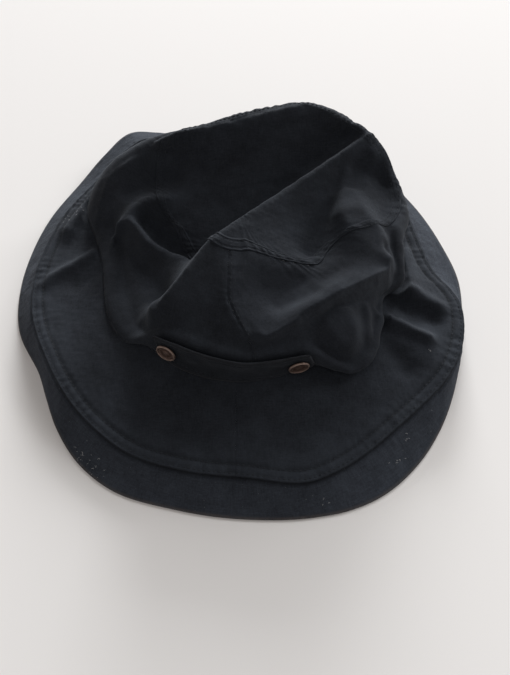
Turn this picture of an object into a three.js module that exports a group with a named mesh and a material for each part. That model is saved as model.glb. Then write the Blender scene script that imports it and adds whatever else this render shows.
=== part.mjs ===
// A soft cloth hat with a slumped crown, a wide brim and a buttoned front strap, lying crown up.
// Millimetres, +Z up, the table at z = 0, the front of the hat toward -Y. A turn is an angle round
// the hat in degrees, 0 at the front and 90 at the side toward +X.
import * as THREE from 'three';

// Driving sizes
const OPENING_HALF_WIDTH = 88;
const OPENING_HALF_LENGTH = 98;
const CROWN_CLOTH = 1.5;
const BRIM_CLOTH = 2.0;
const BAND_CLOTH = 1.6;
const STRAP_CLOTH = 2.4;
const GAP = 0.3;
const CROWN_LIFT = 0.8;
const SEAM_SHARE = 0.6;
const LAP_WIDTH = 8;

// Numbers of steps in the faceted cloth
const HALF_STEPS = 38;
const TURN_STEPS = 2 * HALF_STEPS;
const TIP_RINGS = 9;
const SIDE_TOP_RINGS = 6;
const SIDE_WALL_RINGS = 4;
const BRIM_RINGS = 6;
const BAND_RINGS = 3;

// The crown seen from above. Columns: turn, bulge radius, bulge height, shoulder width and the
// height of the top where the shoulder ends.
const CROWN_OUTLINE = [
  [0, 94.3, 51, 5, 55], [12, 95.5, 51, 5, 55], [20, 97.2, 51, 5, 55], [25, 99.7, 50, 6, 54],
  [29, 105, 42, 8, 50], [33, 112, 35, 9, 43], [38, 119, 29.5, 8, 34.5], [44, 121, 29.5, 8, 35.5],
  [50, 119, 29.5, 7, 35], [56, 114, 29.5, 6, 35], [61, 112, 30, 5, 35], [67, 107, 30, 5, 35],
  [72, 107, 30, 5, 36], [79, 118, 30, 7, 37], [86, 118, 35, 9, 48], [92, 118, 40, 10, 57],
  [97, 122, 41, 10, 57], [102, 128, 41, 10, 56], [108, 130, 46, 10, 58], [114, 129, 54, 9, 66],
  [120, 128, 62, 8, 78], [126, 124, 71, 8, 87], [133, 122, 72, 9, 89], [142, 124, 66, 12, 90],
  [152, 122, 60, 14, 91], [165, 110, 58, 14, 90], [180, 100, 56, 12, 88], [195, 99, 54, 12, 83],
  [208, 108, 52, 12, 77], [216, 118, 52, 15, 71], [223, 127, 42, 19, 65], [230, 133, 35, 22, 58],
  [238, 134, 30, 24, 49], [245, 128, 28, 20, 41], [251, 116, 29, 12, 35],
  [258, 104, 30, 6, 33.5], [268, 95, 30, 5, 33.5], [280, 94, 29.5, 3, 32.5],
  [297, 98, 30, 3, 33], [309, 99, 31, 4, 35], [315, 97, 35, 7, 41], [320, 93.2, 43, 7, 49],
  [324, 91, 49, 5, 53], [328, 90, 50.5, 5, 54.5], [334, 89.3, 51, 5, 55], [340, 90, 51, 5, 55],
  [346, 90.9, 51, 5, 55], [352, 92.3, 51, 5, 55],
];

// The folds of the crown's top. Columns: name, hold (how firmly the cloth is held to the run),
// width of the run, and the run's points as x, y, z.
const CROWN_FOLDS = [
  ['main fold', 8, 1.3, [[98, 70, 88], [73, 52, 84], [38, 27, 80], [1, -4, 82], [-17, -21, 84],
    [-32, -39, 77], [-46, -53, 69], [-55, -58, 61]]],
  ['knob', 2, 4, [[-54, -58, 61]]],
  ['below the knob', 0.4, 4, [[-68, -56, 41], [-66, -70, 42]]],
  ['left hollow', 0.6, 5, [[-82, 4, 36], [-69, -14, 36], [-57, -33, 38]]],
  ['back ridge', 3, 1.6, [[83, 84, 91], [51, 96, 93], [20, 88, 91], [-11, 83, 87], [-42, 82, 81],
    [-57, 82, 74]]],
  ['left shoulder', 2, 2, [[-74, 78, 64], [-96, 67, 60], [-103, 50, 52], [-108, 36, 44]]],
  ['lower fork', 0.6, 2, [[-106, 36, 40], [-98, 20, 36]]],
  ['hooked ridge', 4, 1.4, [[-94, 12, 38], [-92, 23, 45], [-81, 29, 51], [-74, 36, 54],
    [-64, 41, 57], [-51, 41, 57]]],
  ['above the hook', 0.5, 3, [[-84, 50, 48], [-62, 58, 52], [-46, 60, 54]]],
  ['inner ridge', 3, 1.6, [[-79, 27, 52], [-72, 20, 51], [-65, 8, 50], [-59, 3, 49],
    [-47, -5, 49], [-38, -11, 52]]],
  ['main valley', 1.2, 3, [[84, 72, 80], [64, 63, 70], [33, 43, 56], [6, 17, 48], [-11, 2, 43],
    [-24, -6, 40]]],
  ['pit', 1.4, 2.5, [[-68, 26, 42], [-59, 17, 37], [-51, 10, 35], [-42, 3, 35], [-34, -3, 37]]],
  ['soft ridge', 0.25, 3, [[-24, 60, 62], [-28, 44, 56], [-33, 32, 51], [-44, 22, 46]]],
  ['seam dip', 0.2, 4, [[7, -26, 77], [33, -31, 69], [52, -29, 64]]],
  ['right dip', 0.9, 3, [[76, 46, 76], [66, 24, 67], [54, 2, 60], [48, -16, 59]]],
  ['right hollow', 0.4, 5, [[80, 36, 70], [93, 46, 68], [106, 42, 60]]],
  ['peak cheek', 0.2, 4, [[97, 58, 83]]],
  ['right bulge', 0.8, 6, [[74, 22, 75], [76, 8, 77], [83, -4, 75], [91, -12, 70], [98, -18, 63]]],
  ['outer ridge top', 1.5, 3, [[102, -14, 54], [109, -17, 45], [114, -20, 39]]],
  ['front dent', 0.4, 4, [[18, -53, 64], [30, -53, 61], [43, -47, 62]]],
  ['front ridge', 0.5, 2, [[-9, -37, 78], [-9, -58, 70], [-4, -69, 66], [4, -80, 62]]],
  ['lip fold', 3, 2.5, [[13, -76, 64], [28, -69, 68], [44, -60, 71], [61, -49, 72], [75, -40, 69],
    [87, -32, 65], [96, -25, 60]]],
  ['behind the lip', 0.8, 3, [[23, -58, 62], [38, -50, 63], [54, -39, 65], [68, -29, 67]]],
  ['lip edge', 3, 1.5, [[37, -69, 62], [44, -64, 64], [50, -61, 66], [60, -56, 67], [72, -50, 64],
    [84, -41, 59], [94, -32, 52], [101, -25, 45]]],
  ['under the lip', 3, 1.5, [[43, -77, 56], [47, -71, 58], [53, -66, 60], [62, -61, 60],
    [74, -55, 55], [87, -46, 46], [98, -35, 38]]],
  ['front bulge', 1.2, 6, [[61, -67, 61], [66, -77, 55], [70, -85, 48]]],
  ['column', 1, 3, [[82, -56, 49], [86, -70, 43], [87, -81, 37]]],
  ['sharp ridge top', 1.5, 1.5, [[90, -50, 41], [104, -56, 35]]],
];
// Folds that the facets' corners follow, from as far off as this share of a facet.
const FOLD_REACH = 0.42;
const CRISP_FOLDS = ['main fold', 'back ridge', 'hooked ridge', 'inner ridge', 'lip fold'];

// Where a fold's cloth leans out over what is below it. Columns: fold, direction x and y, reach of
// the overhang and the width that it fades over.
const LEANING_FOLDS = [['lip fold', 0.45, -0.9, 7, 8]];

// The seam between the tip panel and the side band, seen from above. Columns: turn, radius.
const TIP_SEAM = [
  [0, 27], [15, 27], [32, 33], [48, 45], [60, 59], [72, 62], [80, 69], [86, 87], [94, 105],
  [101, 117], [109, 124], [118, 124], [130, 117], [142, 117], [152, 114], [165, 102], [180, 93],
  [195, 92], [205, 95], [213, 96], [220, 91], [228, 80], [235, 70], [243, 52], [255, 42],
  [270, 35], [300, 27], [325, 29], [345, 28],
];

// The side band's seam at the centre of the front. Columns: radius, turn.
const FRONT_SEAM = [[28, -13], [38, -11], [58, -8], [69, -2.5], [82, 3.5], [99, 4]];
const FRONT_SEAM_REACH = 60;
const BACK_SEAM_TURN = 180;

// The brim round the hat. Columns: turn, edge radius, edge height, lap radius, lap height and the
// height of the head opening's seam.
const BRIM = [
  [0, 179, 0, 157, 15, 32],
  [13, 184, 0, 165, 13, 32],
  [20, 187, 0, 165, 14, 32],
  [28, 188, 0, 163, 15, 31],
  [37, 185, 0, 161, 16, 30],
  [46, 180, 0, 162, 17, 29],
  [56, 174, 0, 166, 20, 28],
  [66, 169, 0, 166, 21, 28],
  [78, 166, 1, 160, 20, 28],
  [90, 166, 1, 143, 16, 28],
  [102, 163, 1, 140, 16, 28],
  [114, 162, 2, 143, 17, 28],
  [125, 162, 4, 144, 18, 28],
  [140, 165, 10, 146, 23, 29],
  [155, 169, 20, 150, 30, 31],
  [166, 172, 26, 152, 35, 32],
  [174, 172, 23, 152, 32, 32],
  [184, 170, 11, 150, 24, 31],
  [195, 168, 5, 148, 20, 30],
  [203, 171, 13, 150, 25, 30],
  [211, 174, 20, 152, 30, 30],
  [220, 170, 15, 149, 26, 30],
  [231, 169, 4, 148, 20, 28],
  [244, 168, 1, 149, 18, 27],
  [256, 166, 1, 149, 18, 27],
  [268, 166, 0, 150, 19, 27],
  [282, 165, 0, 151, 20, 27],
  [295, 159, 0, 150, 21, 28],
  [303, 162, 0, 151, 20, 29],
  [312, 169, 0, 153, 18, 30],
  [322, 176, 0, 155, 16, 31],
  [332, 179, 0, 157, 15, 32],
  [345, 177, 0, 156, 15, 32],
];
const BRIM_SAG = 2;
const BAND_SWELL = 1.2;
const BRIM_SEAM_TURN = -2.5;

// Ridges and hollows of the brim. Columns: name, start x and y, end x and y, height, width.
const BRIM_FOLDS = [
  ['right ridge', 103, -51, 128, -65, 6, 5],
  ['front of the right ridge', 98, -60, 128, -78, 3, 12],
  ['right root', 123, 14, 124, -22, 5, 8],
  ['left root', -100, 14, -82, -52, 2.5, 6],
  ['left rear root', -98, 100, -132, 46, 8, 9],
  ['right hollow', 106, -32, 134, -45, -6, 9],
  ['outer ridge', 112, -22, 142, -38, 6, 6],
  ['left ridge', -102, 22, -150, -8, 4, 5],
  ['below the left ridge', -98, 4, -118, -8, -2, 8],
  ['front right hollow', 100, -68, 110, -85, -3, 8],
];
const BRIM_FOLD_FADE = 5;

// The strap across the front and its two tack buttons
const STRAP_START_TURN = -36.5;
const STRAP_END_TURN = 26.5;
const STRAP_END_SLANT = 3.5;
const STRAP_SLANT_START = 0.4;
const STRAP_BOTTOM = 33.4;
const STRAP_TOP = 53.5;
const STRAP_TOP_STAND = 1.6;
const STRAP_LENGTH = 108;
const STRAP_COLUMNS = 26;
const STRAP_ROWS = 4;
const BUTTON_HEIGHT = 43;
const BUTTON_TURNS = { left: -31, right: 21 };
const BUTTON_RADIUS = 7;
const BUTTON_SIDES = 24;

// Colours read from the photograph
const CLOTH_COLOUR = 0x1f2125;
const BRASS_COLOUR = 0x8c6048;

const RADIANS = Math.PI / 180;

// Smooth closed curve through a table's rows, read at a turn.
function roundTable(rows, column, turn) {
  const count = rows.length;
  const at = ((turn % 360) + 360) % 360;
  let k = count - 1;
  while (k > 0 && rows[k][0] > at) k -= 1;
  const row = (i) => rows[((i % count) + count) % count][column];
  const angle = (i) => rows[((i % count) + count) % count][0] + 360 * Math.floor(i / count);
  const slope = (i) => (row(i + 1) - row(i - 1)) / (angle(i + 1) - angle(i - 1));
  const span = angle(k + 1) - angle(k);
  const u = (at - angle(k)) / span;
  const u2 = u * u;
  const u3 = u2 * u;
  return (2 * u3 - 3 * u2 + 1) * row(k) + (u3 - 2 * u2 + u) * span * slope(k)
    + (3 * u2 - 2 * u3) * row(k + 1) + (u3 - u2) * span * slope(k + 1);
}

// Straight lines between a table's rows, held level beyond its ends.
function lineTable(rows, value) {
  if (value <= rows[0][0]) return rows[0][1];
  for (let k = 1; k < rows.length; k += 1) {
    if (value <= rows[k][0]) {
      const u = (value - rows[k - 1][0]) / (rows[k][0] - rows[k - 1][0]);
      return rows[k - 1][1] + u * (rows[k][1] - rows[k - 1][1]);
    }
  }
  return rows[rows.length - 1][1];
}

const clamp = (value, low, high) => Math.min(Math.max(value, low), high);
const turnOf = (x, y) => Math.atan2(x, -y) / RADIANS;

// The nearest point of a run to x, y: its distance, place and height.
function nearRun(x, y, run) {
  let best = { distance: Infinity };
  for (let k = 0; k < Math.max(run.length - 1, 1); k += 1) {
    const [ax, ay, az] = run[k];
    const [bx, by, bz] = run[Math.min(k + 1, run.length - 1)];
    const length2 = (bx - ax) ** 2 + (by - ay) ** 2;
    const t = length2 > 0 ? clamp(((x - ax) * (bx - ax) + (y - ay) * (by - ay)) / length2, 0, 1) : 0;
    const px = ax + t * (bx - ax);
    const py = ay + t * (by - ay);
    const distance = Math.hypot(x - px, y - py);
    if (distance < best.distance) best = { distance, x: px, y: py, z: az + t * (bz - az) };
  }
  return best;
}

function openingRadius(turn) {
  const across = Math.sin(turn * RADIANS) / OPENING_HALF_WIDTH;
  const along = Math.cos(turn * RADIANS) / OPENING_HALF_LENGTH;
  return 1 / Math.hypot(across, along);
}

// The height of the crown's top is a square sheet of cells, held at the folds and at the rim and
// let settle between them like cloth that is pulled tight and a little stiff.
const CELL = 2;
const SHEET_HALF = 136;
const SHEET_SIDE = 2 * SHEET_HALF / CELL + 1;
const SETTLE_SWEEPS = 1500;
const CLOTH_STIFFNESS = 0.6;
const SETTLE_RATE = 0.7;
const RIM_HOLD = 20;
const RIM_SOFTNESS = 0.8;
const EVENING_SWEEPS = 10;

function heldSheet() {
  const cells = SHEET_SIDE * SHEET_SIDE;
  const hold = new Float64Array(cells);
  const pull = new Float64Array(cells);
  const height = new Float64Array(cells);
  for (let i = 0; i < SHEET_SIDE; i += 1) {
    for (let j = 0; j < SHEET_SIDE; j += 1) {
      const x = i * CELL - SHEET_HALF;
      const y = j * CELL - SHEET_HALF;
      const k = i * SHEET_SIDE + j;
      let blend = 0;
      let share = 0;
      for (const [, strength, width, run] of CROWN_FOLDS) {
        const near = nearRun(x, y, run);
        const weight = strength * Math.exp(-((near.distance / width) ** 2));
        hold[k] += weight;
        pull[k] += weight * near.z;
        const part = Math.min(strength, 1) / (near.distance ** 2 + 9);
        blend += part * near.z;
        share += part;
      }
      const turn = turnOf(x, y);
      const rim = roundTable(CROWN_OUTLINE, 1, turn) - roundTable(CROWN_OUTLINE, 3, turn);
      const rimHeight = roundTable(CROWN_OUTLINE, 4, turn);
      const outside = Math.hypot(x, y) - rim;
      const weight = RIM_HOLD / (1 + Math.exp(-(outside - 1) / RIM_SOFTNESS));
      hold[k] += weight;
      pull[k] += weight * rimHeight;
      height[k] = outside > 0 ? rimHeight : blend / share;
    }
  }
  return { hold, pull, height };
}

function settledSheet() {
  const { hold, pull, height } = heldSheet();
  const side = SHEET_SIDE;
  const held = (i) => clamp(i, 0, side - 1);
  let now = height;
  let next = new Float64Array(now.length);
  for (let sweep = 0; sweep < SETTLE_SWEEPS; sweep += 1) {
    for (let i = 0; i < side; i += 1) {
      const up = held(i - 1) * side;
      const down = held(i + 1) * side;
      const up2 = held(i - 2) * side;
      const down2 = held(i + 2) * side;
      const row = i * side;
      for (let j = 0; j < side; j += 1) {
        const left = held(j - 1);
        const right = held(j + 1);
        const near = now[up + j] + now[down + j] + now[row + left] + now[row + right];
        const corner = now[up + left] + now[down + left] + now[up + right] + now[down + right];
        const far = now[up2 + j] + now[down2 + j] + now[row + held(j - 2)] + now[row + held(j + 2)];
        const tight = near / 4;
        const stiff = (8 * near - 2 * corner - far) / 20;
        const free = tight + CLOTH_STIFFNESS * (stiff - tight);
        const k = row + j;
        const settled = (free + pull[k]) / (1 + hold[k]);
        next[k] = now[k] + SETTLE_RATE * (settled - now[k]);
      }
    }
    [now, next] = [next, now];
  }
  return now;
}

// The settled sheet with its shortest waves evened out, so that wide facets meet smoothly.
function evenedSheet(sheet) {
  const side = SHEET_SIDE;
  const held = (i) => clamp(i, 0, side - 1);
  let now = sheet;
  for (let sweep = 0; sweep < EVENING_SWEEPS; sweep += 1) {
    const next = new Float64Array(now.length);
    for (let i = 0; i < side; i += 1) {
      for (let j = 0; j < side; j += 1) {
        const near = now[held(i - 1) * side + j] + now[held(i + 1) * side + j]
          + now[i * side + held(j - 1)] + now[i * side + held(j + 1)];
        next[i * side + j] = 0.5 * now[i * side + j] + 0.125 * near;
      }
    }
    now = next;
  }
  return now;
}

const SHEET = settledSheet();
const EVEN_SHEET = evenedSheet(SHEET);

function cubic(a, b, c, d, t) {
  return b + 0.5 * t * (c - a + t * (2 * a - 5 * b + 4 * c - d + t * (3 * (b - c) + d - a)));
}

function topHeight(x, y, sheet) {
  const u = clamp((x + SHEET_HALF) / CELL, 1, SHEET_SIDE - 2.001);
  const v = clamp((y + SHEET_HALF) / CELL, 1, SHEET_SIDE - 2.001);
  const i = clamp(Math.floor(u), 1, SHEET_SIDE - 3);
  const j = clamp(Math.floor(v), 1, SHEET_SIDE - 3);
  const across = [-1, 0, 1, 2].map((step) => {
    const k = (i + step) * SHEET_SIDE + j;
    return cubic(sheet[k - 1], sheet[k], sheet[k + 1], sheet[k + 2], v - j);
  });
  return cubic(...across, u - i);
}

// A point of the crown's top, by its place seen from above.
function crownTopPoint(x, y, sheet) {
  const turn = turnOf(x, y);
  const bulgeHeight = roundTable(CROWN_OUTLINE, 2, turn);
  const inside = roundTable(CROWN_OUTLINE, 1, turn) - Math.hypot(x, y);
  const share = clamp(inside / roundTable(CROWN_OUTLINE, 3, turn), 0, 1);
  const rise = Math.sqrt(1 - (1 - share) ** 2);
  const height = bulgeHeight + (topHeight(x, y, sheet) - bulgeHeight) * rise;
  const point = new THREE.Vector3(x, y, height);
  for (const [name, dx, dy, reach, width] of LEANING_FOLDS) {
    const run = CROWN_FOLDS.find((fold) => fold[0] === name)[3];
    const lean = reach * share * Math.exp(-((nearRun(x, y, run).distance / width) ** 2));
    point.x += lean * dx;
    point.y += lean * dy;
  }
  return point;
}

// A point of the side band's wall: 0 at the head opening, 1 at the bulge.
function crownWallPoint(turn, share) {
  const opening = openingRadius(turn);
  const bulge = roundTable(CROWN_OUTLINE, 1, turn);
  const start = roundTable(BRIM, 5, turn) + CROWN_LIFT;
  const fall = (roundTable(BRIM, 4, turn) - roundTable(BRIM, 5, turn))
    / (roundTable(BRIM, 3, turn) - opening);
  const angle = share * Math.PI / 2;
  const radius = opening + (bulge - opening) * Math.sin(angle);
  const curl = roundTable(CROWN_OUTLINE, 2, turn) - start - fall * (bulge - opening);
  const height = start + fall * (radius - opening) + curl * (1 - Math.cos(angle));
  return new THREE.Vector3(radius * Math.sin(turn * RADIANS), -radius * Math.cos(turn * RADIANS), height);
}

function brimFoldHeight(x, y) {
  let height = 0;
  for (const [, ax, ay, bx, by, rise, width] of BRIM_FOLDS) {
    const near = nearRun(x, y, [[ax, ay, 0], [bx, by, 0]]);
    height += rise * Math.exp(-((near.distance / width) ** 2));
  }
  return height;
}

// A point of the inner brim's upper face: 0 at the head opening, 1 at the lapped seam.
function brimPoint(turn, share) {
  const opening = openingRadius(turn);
  const radius = opening + (roundTable(BRIM, 3, turn) - opening) * share;
  const root = roundTable(BRIM, 5, turn);
  const x = radius * Math.sin(turn * RADIANS);
  const y = -radius * Math.cos(turn * RADIANS);
  const clear = clamp((radius - roundTable(CROWN_OUTLINE, 1, turn)) / BRIM_FOLD_FADE, 0, 1);
  const fold = brimFoldHeight(x, y);
  const height = root + (roundTable(BRIM, 4, turn) - root) * share - BRIM_SAG * Math.sin(Math.PI * share)
    + fold * (fold > 0 ? clear : 1) * clamp(4 * (1 - share), 0, 1);
  return new THREE.Vector3(x, y, height);
}

// Triangles of a grid of points, where each row is a turn and each column a ring. The shorter
// diagonal, measured against the true surface where there is one, keeps creases straight.
function gridTriangles(at, rows, columns, wrap, middleError) {
  const triangles = [];
  for (let i = 0; i < (wrap ? rows : rows - 1); i += 1) {
    for (let j = 0; j < columns - 1; j += 1) {
      const a = at(i, j);
      const b = at((i + 1) % rows, j);
      const c = at((i + 1) % rows, j + 1);
      const d = at(i, j + 1);
      if (middleError && middleError(b, d) < middleError(a, c)) {
        triangles.push([a, b, d], [b, c, d]);
      } else {
        triangles.push([a, b, c], [a, c, d]);
      }
    }
  }
  return triangles;
}

function vertexNormals(points, triangles) {
  const normals = points.map(() => new THREE.Vector3());
  for (const [a, b, c] of triangles) {
    const side = points[b].clone().sub(points[a]);
    const normal = side.cross(points[c].clone().sub(points[a]));
    for (const k of [a, b, c]) normals[k].add(normal);
  }
  return normals.map((normal) => normal.normalize());
}

// One closed body from an outer face, an inner face with the same triangles and the edges between.
function closedBody(outer, inner, triangles) {
  const count = outer.length;
  const faces = [];
  const edges = new Set();
  for (const [a, b, c] of triangles) {
    faces.push([a, b, c], [a + count, c + count, b + count]);
    for (const [p, q] of [[a, b], [b, c], [c, a]]) edges.add(`${p}_${q}`);
  }
  for (const edge of edges) {
    const [p, q] = edge.split('_').map(Number);
    if (!edges.has(`${q}_${p}`)) faces.push([q, p, p + count], [q, p + count, q + count]);
  }
  const all = [...outer, ...inner];
  let volume = 0;
  for (const [a, b, c] of faces) volume += all[a].dot(all[b].clone().cross(all[c]));
  const ordered = volume > 0 ? faces : faces.map(([a, b, c]) => [a, c, b]);
  const used = [...new Set(ordered.flat())];
  const renumber = new Map(used.map((old, k) => [old, k]));
  const geometry = new THREE.BufferGeometry();
  const coordinates = used.flatMap((k) => all[k].toArray());
  geometry.setAttribute('position', new THREE.Float32BufferAttribute(coordinates, 3));
  geometry.setIndex(ordered.flat().map((k) => renumber.get(k)));
  geometry.computeVertexNormals();
  return geometry;
}

// The whole crown as one grid of points: the pole, the tip's rings, the side band's top and wall.
const TIP_SEAM_RING = TIP_RINGS;
const BULGE_RING = TIP_RINGS + SIDE_TOP_RINGS;
const CROWN_RINGS = BULGE_RING + SIDE_WALL_RINGS;

function crownTurn(column, radius) {
  const start = lineTable(FRONT_SEAM, 0);
  const right = column <= HALF_STEPS;
  const base = right
    ? start + (BACK_SEAM_TURN - start) * column / HALF_STEPS
    : BACK_SEAM_TURN + (360 + start - BACK_SEAM_TURN) * (column - HALF_STEPS) / HALF_STEPS;
  const away = right ? base - start : 360 + start - base;
  const follow = Math.max(0, 1 - away / FRONT_SEAM_REACH) ** 2;
  return base + follow * (lineTable(FRONT_SEAM, radius) - start);
}

function nearestCrispFold(x, y, room) {
  let best = { distance: room };
  for (const [name, , , run] of CROWN_FOLDS) {
    if (CRISP_FOLDS.includes(name)) {
      const near = nearRun(x, y, run);
      if (near.distance < best.distance) best = near;
    }
  }
  return best.distance < room ? best : null;
}

function crownGridPoint(column, ring) {
  const seamTurn = crownTurn(column, 0);
  const seamRadius = roundTable(TIP_SEAM, 1, seamTurn);
  if (ring > BULGE_RING) {
    const share = 1 - (ring - BULGE_RING) / SIDE_WALL_RINGS;
    const outline = roundTable(CROWN_OUTLINE, 1, seamTurn);
    return crownWallPoint(crownTurn(column, outline), share);
  }
  let radius = seamRadius * ring / TIP_RINGS;
  let turn = seamTurn;
  let spacing = seamRadius / TIP_RINGS;
  if (ring > TIP_SEAM_RING) {
    const share = (ring - TIP_SEAM_RING) / SIDE_TOP_RINGS;
    const outline = roundTable(CROWN_OUTLINE, 1, seamTurn);
    turn = crownTurn(column, seamRadius + (outline - seamRadius) * share);
    const bulge = roundTable(CROWN_OUTLINE, 1, turn);
    radius = seamRadius + (bulge - seamRadius) * share;
    spacing = (bulge - seamRadius) / SIDE_TOP_RINGS;
  }
  const x = radius * Math.sin(turn * RADIANS);
  const y = -radius * Math.cos(turn * RADIANS);
  const free = ring !== TIP_SEAM_RING && ring !== BULGE_RING && ring < BULGE_RING - 1;
  const arc = radius * 360 / TURN_STEPS * RADIANS;
  const fold = free ? nearestCrispFold(x, y, FOLD_REACH * Math.min(spacing, arc)) : null;
  return fold ? crownTopPoint(fold.x, fold.y, SHEET) : crownTopPoint(x, y, EVEN_SHEET);
}

function crownGrid() {
  const points = [crownTopPoint(0, 0, EVEN_SHEET)];
  for (let column = 0; column < TURN_STEPS; column += 1) {
    for (let ring = 1; ring <= CROWN_RINGS; ring += 1) points.push(crownGridPoint(column, ring));
  }
  const at = (column, ring) => 1 + (column % TURN_STEPS) * CROWN_RINGS + ring - 1;
  const middleError = (p, q) => {
    const middle = points[p].clone().add(points[q]).multiplyScalar(0.5);
    return Math.abs(topHeight(middle.x, middle.y, EVEN_SHEET) - middle.z);
  };
  const tip = gridTriangles((i, j) => at(i, j + 1), TURN_STEPS, TIP_RINGS, true, middleError);
  for (let column = 0; column < TURN_STEPS; column += 1) {
    tip.push([0, at(column + 1, 1), at(column, 1)]);
  }
  const half = (first) => [
    ...gridTriangles((i, j) => at(first + i, TIP_SEAM_RING + j), HALF_STEPS + 1, SIDE_TOP_RINGS,
      false, middleError),
    ...gridTriangles((i, j) => at(first + i, BULGE_RING - 1 + j), HALF_STEPS + 1,
      SIDE_WALL_RINGS + 2, false),
  ];
  return { points, at, tip, right: half(0), left: half(HALF_STEPS) };
}

// Moves a seam's points square to the seam into their own piece, so that two pieces keep their gap.
// Each column of the seam holds a point's number and its neighbour's further into the piece.
function drawBack(points, normals, seam, closed) {
  const moved = points.map((point) => point.clone());
  const last = seam.length - 1;
  seam.forEach(([edge, inward], k) => {
    const before = seam[k > 0 ? k - 1 : closed ? last : 0][0];
    const after = seam[k < last ? k + 1 : closed ? 0 : last][0];
    const along = points[after].clone().sub(points[before]);
    const step = along.cross(normals[edge]).setLength(SEAM_SHARE * GAP);
    if (step.dot(points[inward].clone().sub(points[edge])) < 0) step.negate();
    moved[edge].add(step);
  });
  return moved;
}

function clothBody(points, normals, triangles, thickness) {
  const inner = points.map((point, k) => point.clone().addScaledVector(normals[k], -thickness));
  return closedBody(points, inner, triangles);
}

function crownBodies() {
  const { points, at, tip, right, left } = crownGrid();
  const normals = vertexNormals(points, [...tip, ...right, ...left]);
  if (normals[0].z < 0) normals.forEach((normal) => normal.negate());
  const rings = Array.from({ length: CROWN_RINGS - TIP_SEAM_RING + 1 }, (_, k) => TIP_SEAM_RING + k);
  const columns = Array.from({ length: TURN_STEPS }, (_, k) => k);
  const tipEdge = columns.map((i) => [at(i, TIP_SEAM_RING), at(i, TIP_SEAM_RING - 1)]);
  const sideEdge = columns.map((i) => [at(i, TIP_SEAM_RING), at(i, TIP_SEAM_RING + 1)]);
  const sidePoints = drawBack(points, normals, sideEdge, true);
  const half = (triangles, frontInward, backInward) => {
    const front = rings.map((ring) => [at(0, ring), at(frontInward, ring)]);
    const back = rings.map((ring) => [at(HALF_STEPS, ring), at(backInward, ring)]);
    const free = drawBack(drawBack(sidePoints, normals, front, false), normals, back, false);
    return clothBody(free, normals, triangles, CROWN_CLOTH);
  };
  return {
    crown_top: clothBody(drawBack(points, normals, tipEdge, true), normals, tip, CROWN_CLOTH),
    crown_side_right: half(right, 1, HALF_STEPS - 1),
    crown_side_left: half(left, TURN_STEPS - 1, HALF_STEPS + 1),
  };
}

// The inner brim as one grid of points. Its last ring of cloth is the lap over the outer band.
function brimGrid() {
  const points = [];
  for (let column = 0; column < TURN_STEPS; column += 1) {
    const turn = brimTurn(column);
    const lapShare = LAP_WIDTH / (roundTable(BRIM, 3, turn) - openingRadius(turn));
    for (let ring = 0; ring < BRIM_RINGS; ring += 1) {
      points.push(brimPoint(turn, (1 - lapShare) * ring / (BRIM_RINGS - 1)));
    }
    points.push(brimPoint(turn, 1));
  }
  const at = (column, ring) => (column % TURN_STEPS) * (BRIM_RINGS + 1) + ring;
  const normals = vertexNormals(points, gridTriangles(at, TURN_STEPS, BRIM_RINGS + 1, true));
  if (normals[0].z < 0) normals.forEach((normal) => normal.negate());
  return { points, normals, at };
}

function brimTurn(column) {
  return BRIM_SEAM_TURN + 360 * column / TURN_STEPS;
}

function brimBodies({ points, normals, at }) {
  const half = (first, inwardFirst, inwardLast) => {
    const triangles = gridTriangles((i, j) => at(first + i, j), HALF_STEPS + 1, BRIM_RINGS + 1, false);
    const rings = Array.from({ length: BRIM_RINGS + 1 }, (_, ring) => ring);
    const start = rings.map((ring) => [at(first, ring), at(inwardFirst, ring)]);
    const end = rings.map((ring) => [at(first + HALF_STEPS, ring), at(inwardLast, ring)]);
    const free = drawBack(drawBack(points, normals, start, false), normals, end, false);
    return clothBody(free, normals, triangles, BRIM_CLOTH);
  };
  return {
    brim_right: half(0, 1, HALF_STEPS - 1),
    brim_left: half(HALF_STEPS, HALF_STEPS + 1, TURN_STEPS - 1),
  };
}

// The outer band: its inner edge lies under the inner brim, and its hem stands on the table.
function bandColumn(brim, column) {
  const turn = brimTurn(column);
  const outward = new THREE.Vector3(Math.sin(turn * RADIANS), -Math.cos(turn * RADIANS), 0);
  const top = [BRIM_RINGS - 1, BRIM_RINGS].map((ring) => {
    const k = brim.at(column, ring);
    return brim.points[k].clone().addScaledVector(brim.normals[k], -BRIM_CLOTH - GAP);
  });
  const hemRadius = roundTable(BRIM, 1, turn);
  const hemHeight = Math.max(0, roundTable(BRIM, 2, turn));
  const hem = outward.clone().multiplyScalar(hemRadius).setZ(hemHeight);
  const lapEnd = top[1];
  for (let k = 1; k <= BAND_RINGS; k += 1) {
    const point = lapEnd.clone().lerp(hem, k / BAND_RINGS);
    top.push(point.addScaledVector(outward, BAND_SWELL * Math.sin(Math.PI * k / BAND_RINGS)));
  }
  const fall = lapEnd.clone().sub(hem);
  const steepness = Math.abs(fall.z) / fall.length();
  const hemWidth = clamp(BAND_CLOTH / Math.max(steepness, 0.1), BAND_CLOTH, 2 * BAND_CLOTH);
  return { top, hemInner: hem.clone().addScaledVector(outward, -hemWidth) };
}

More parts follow.
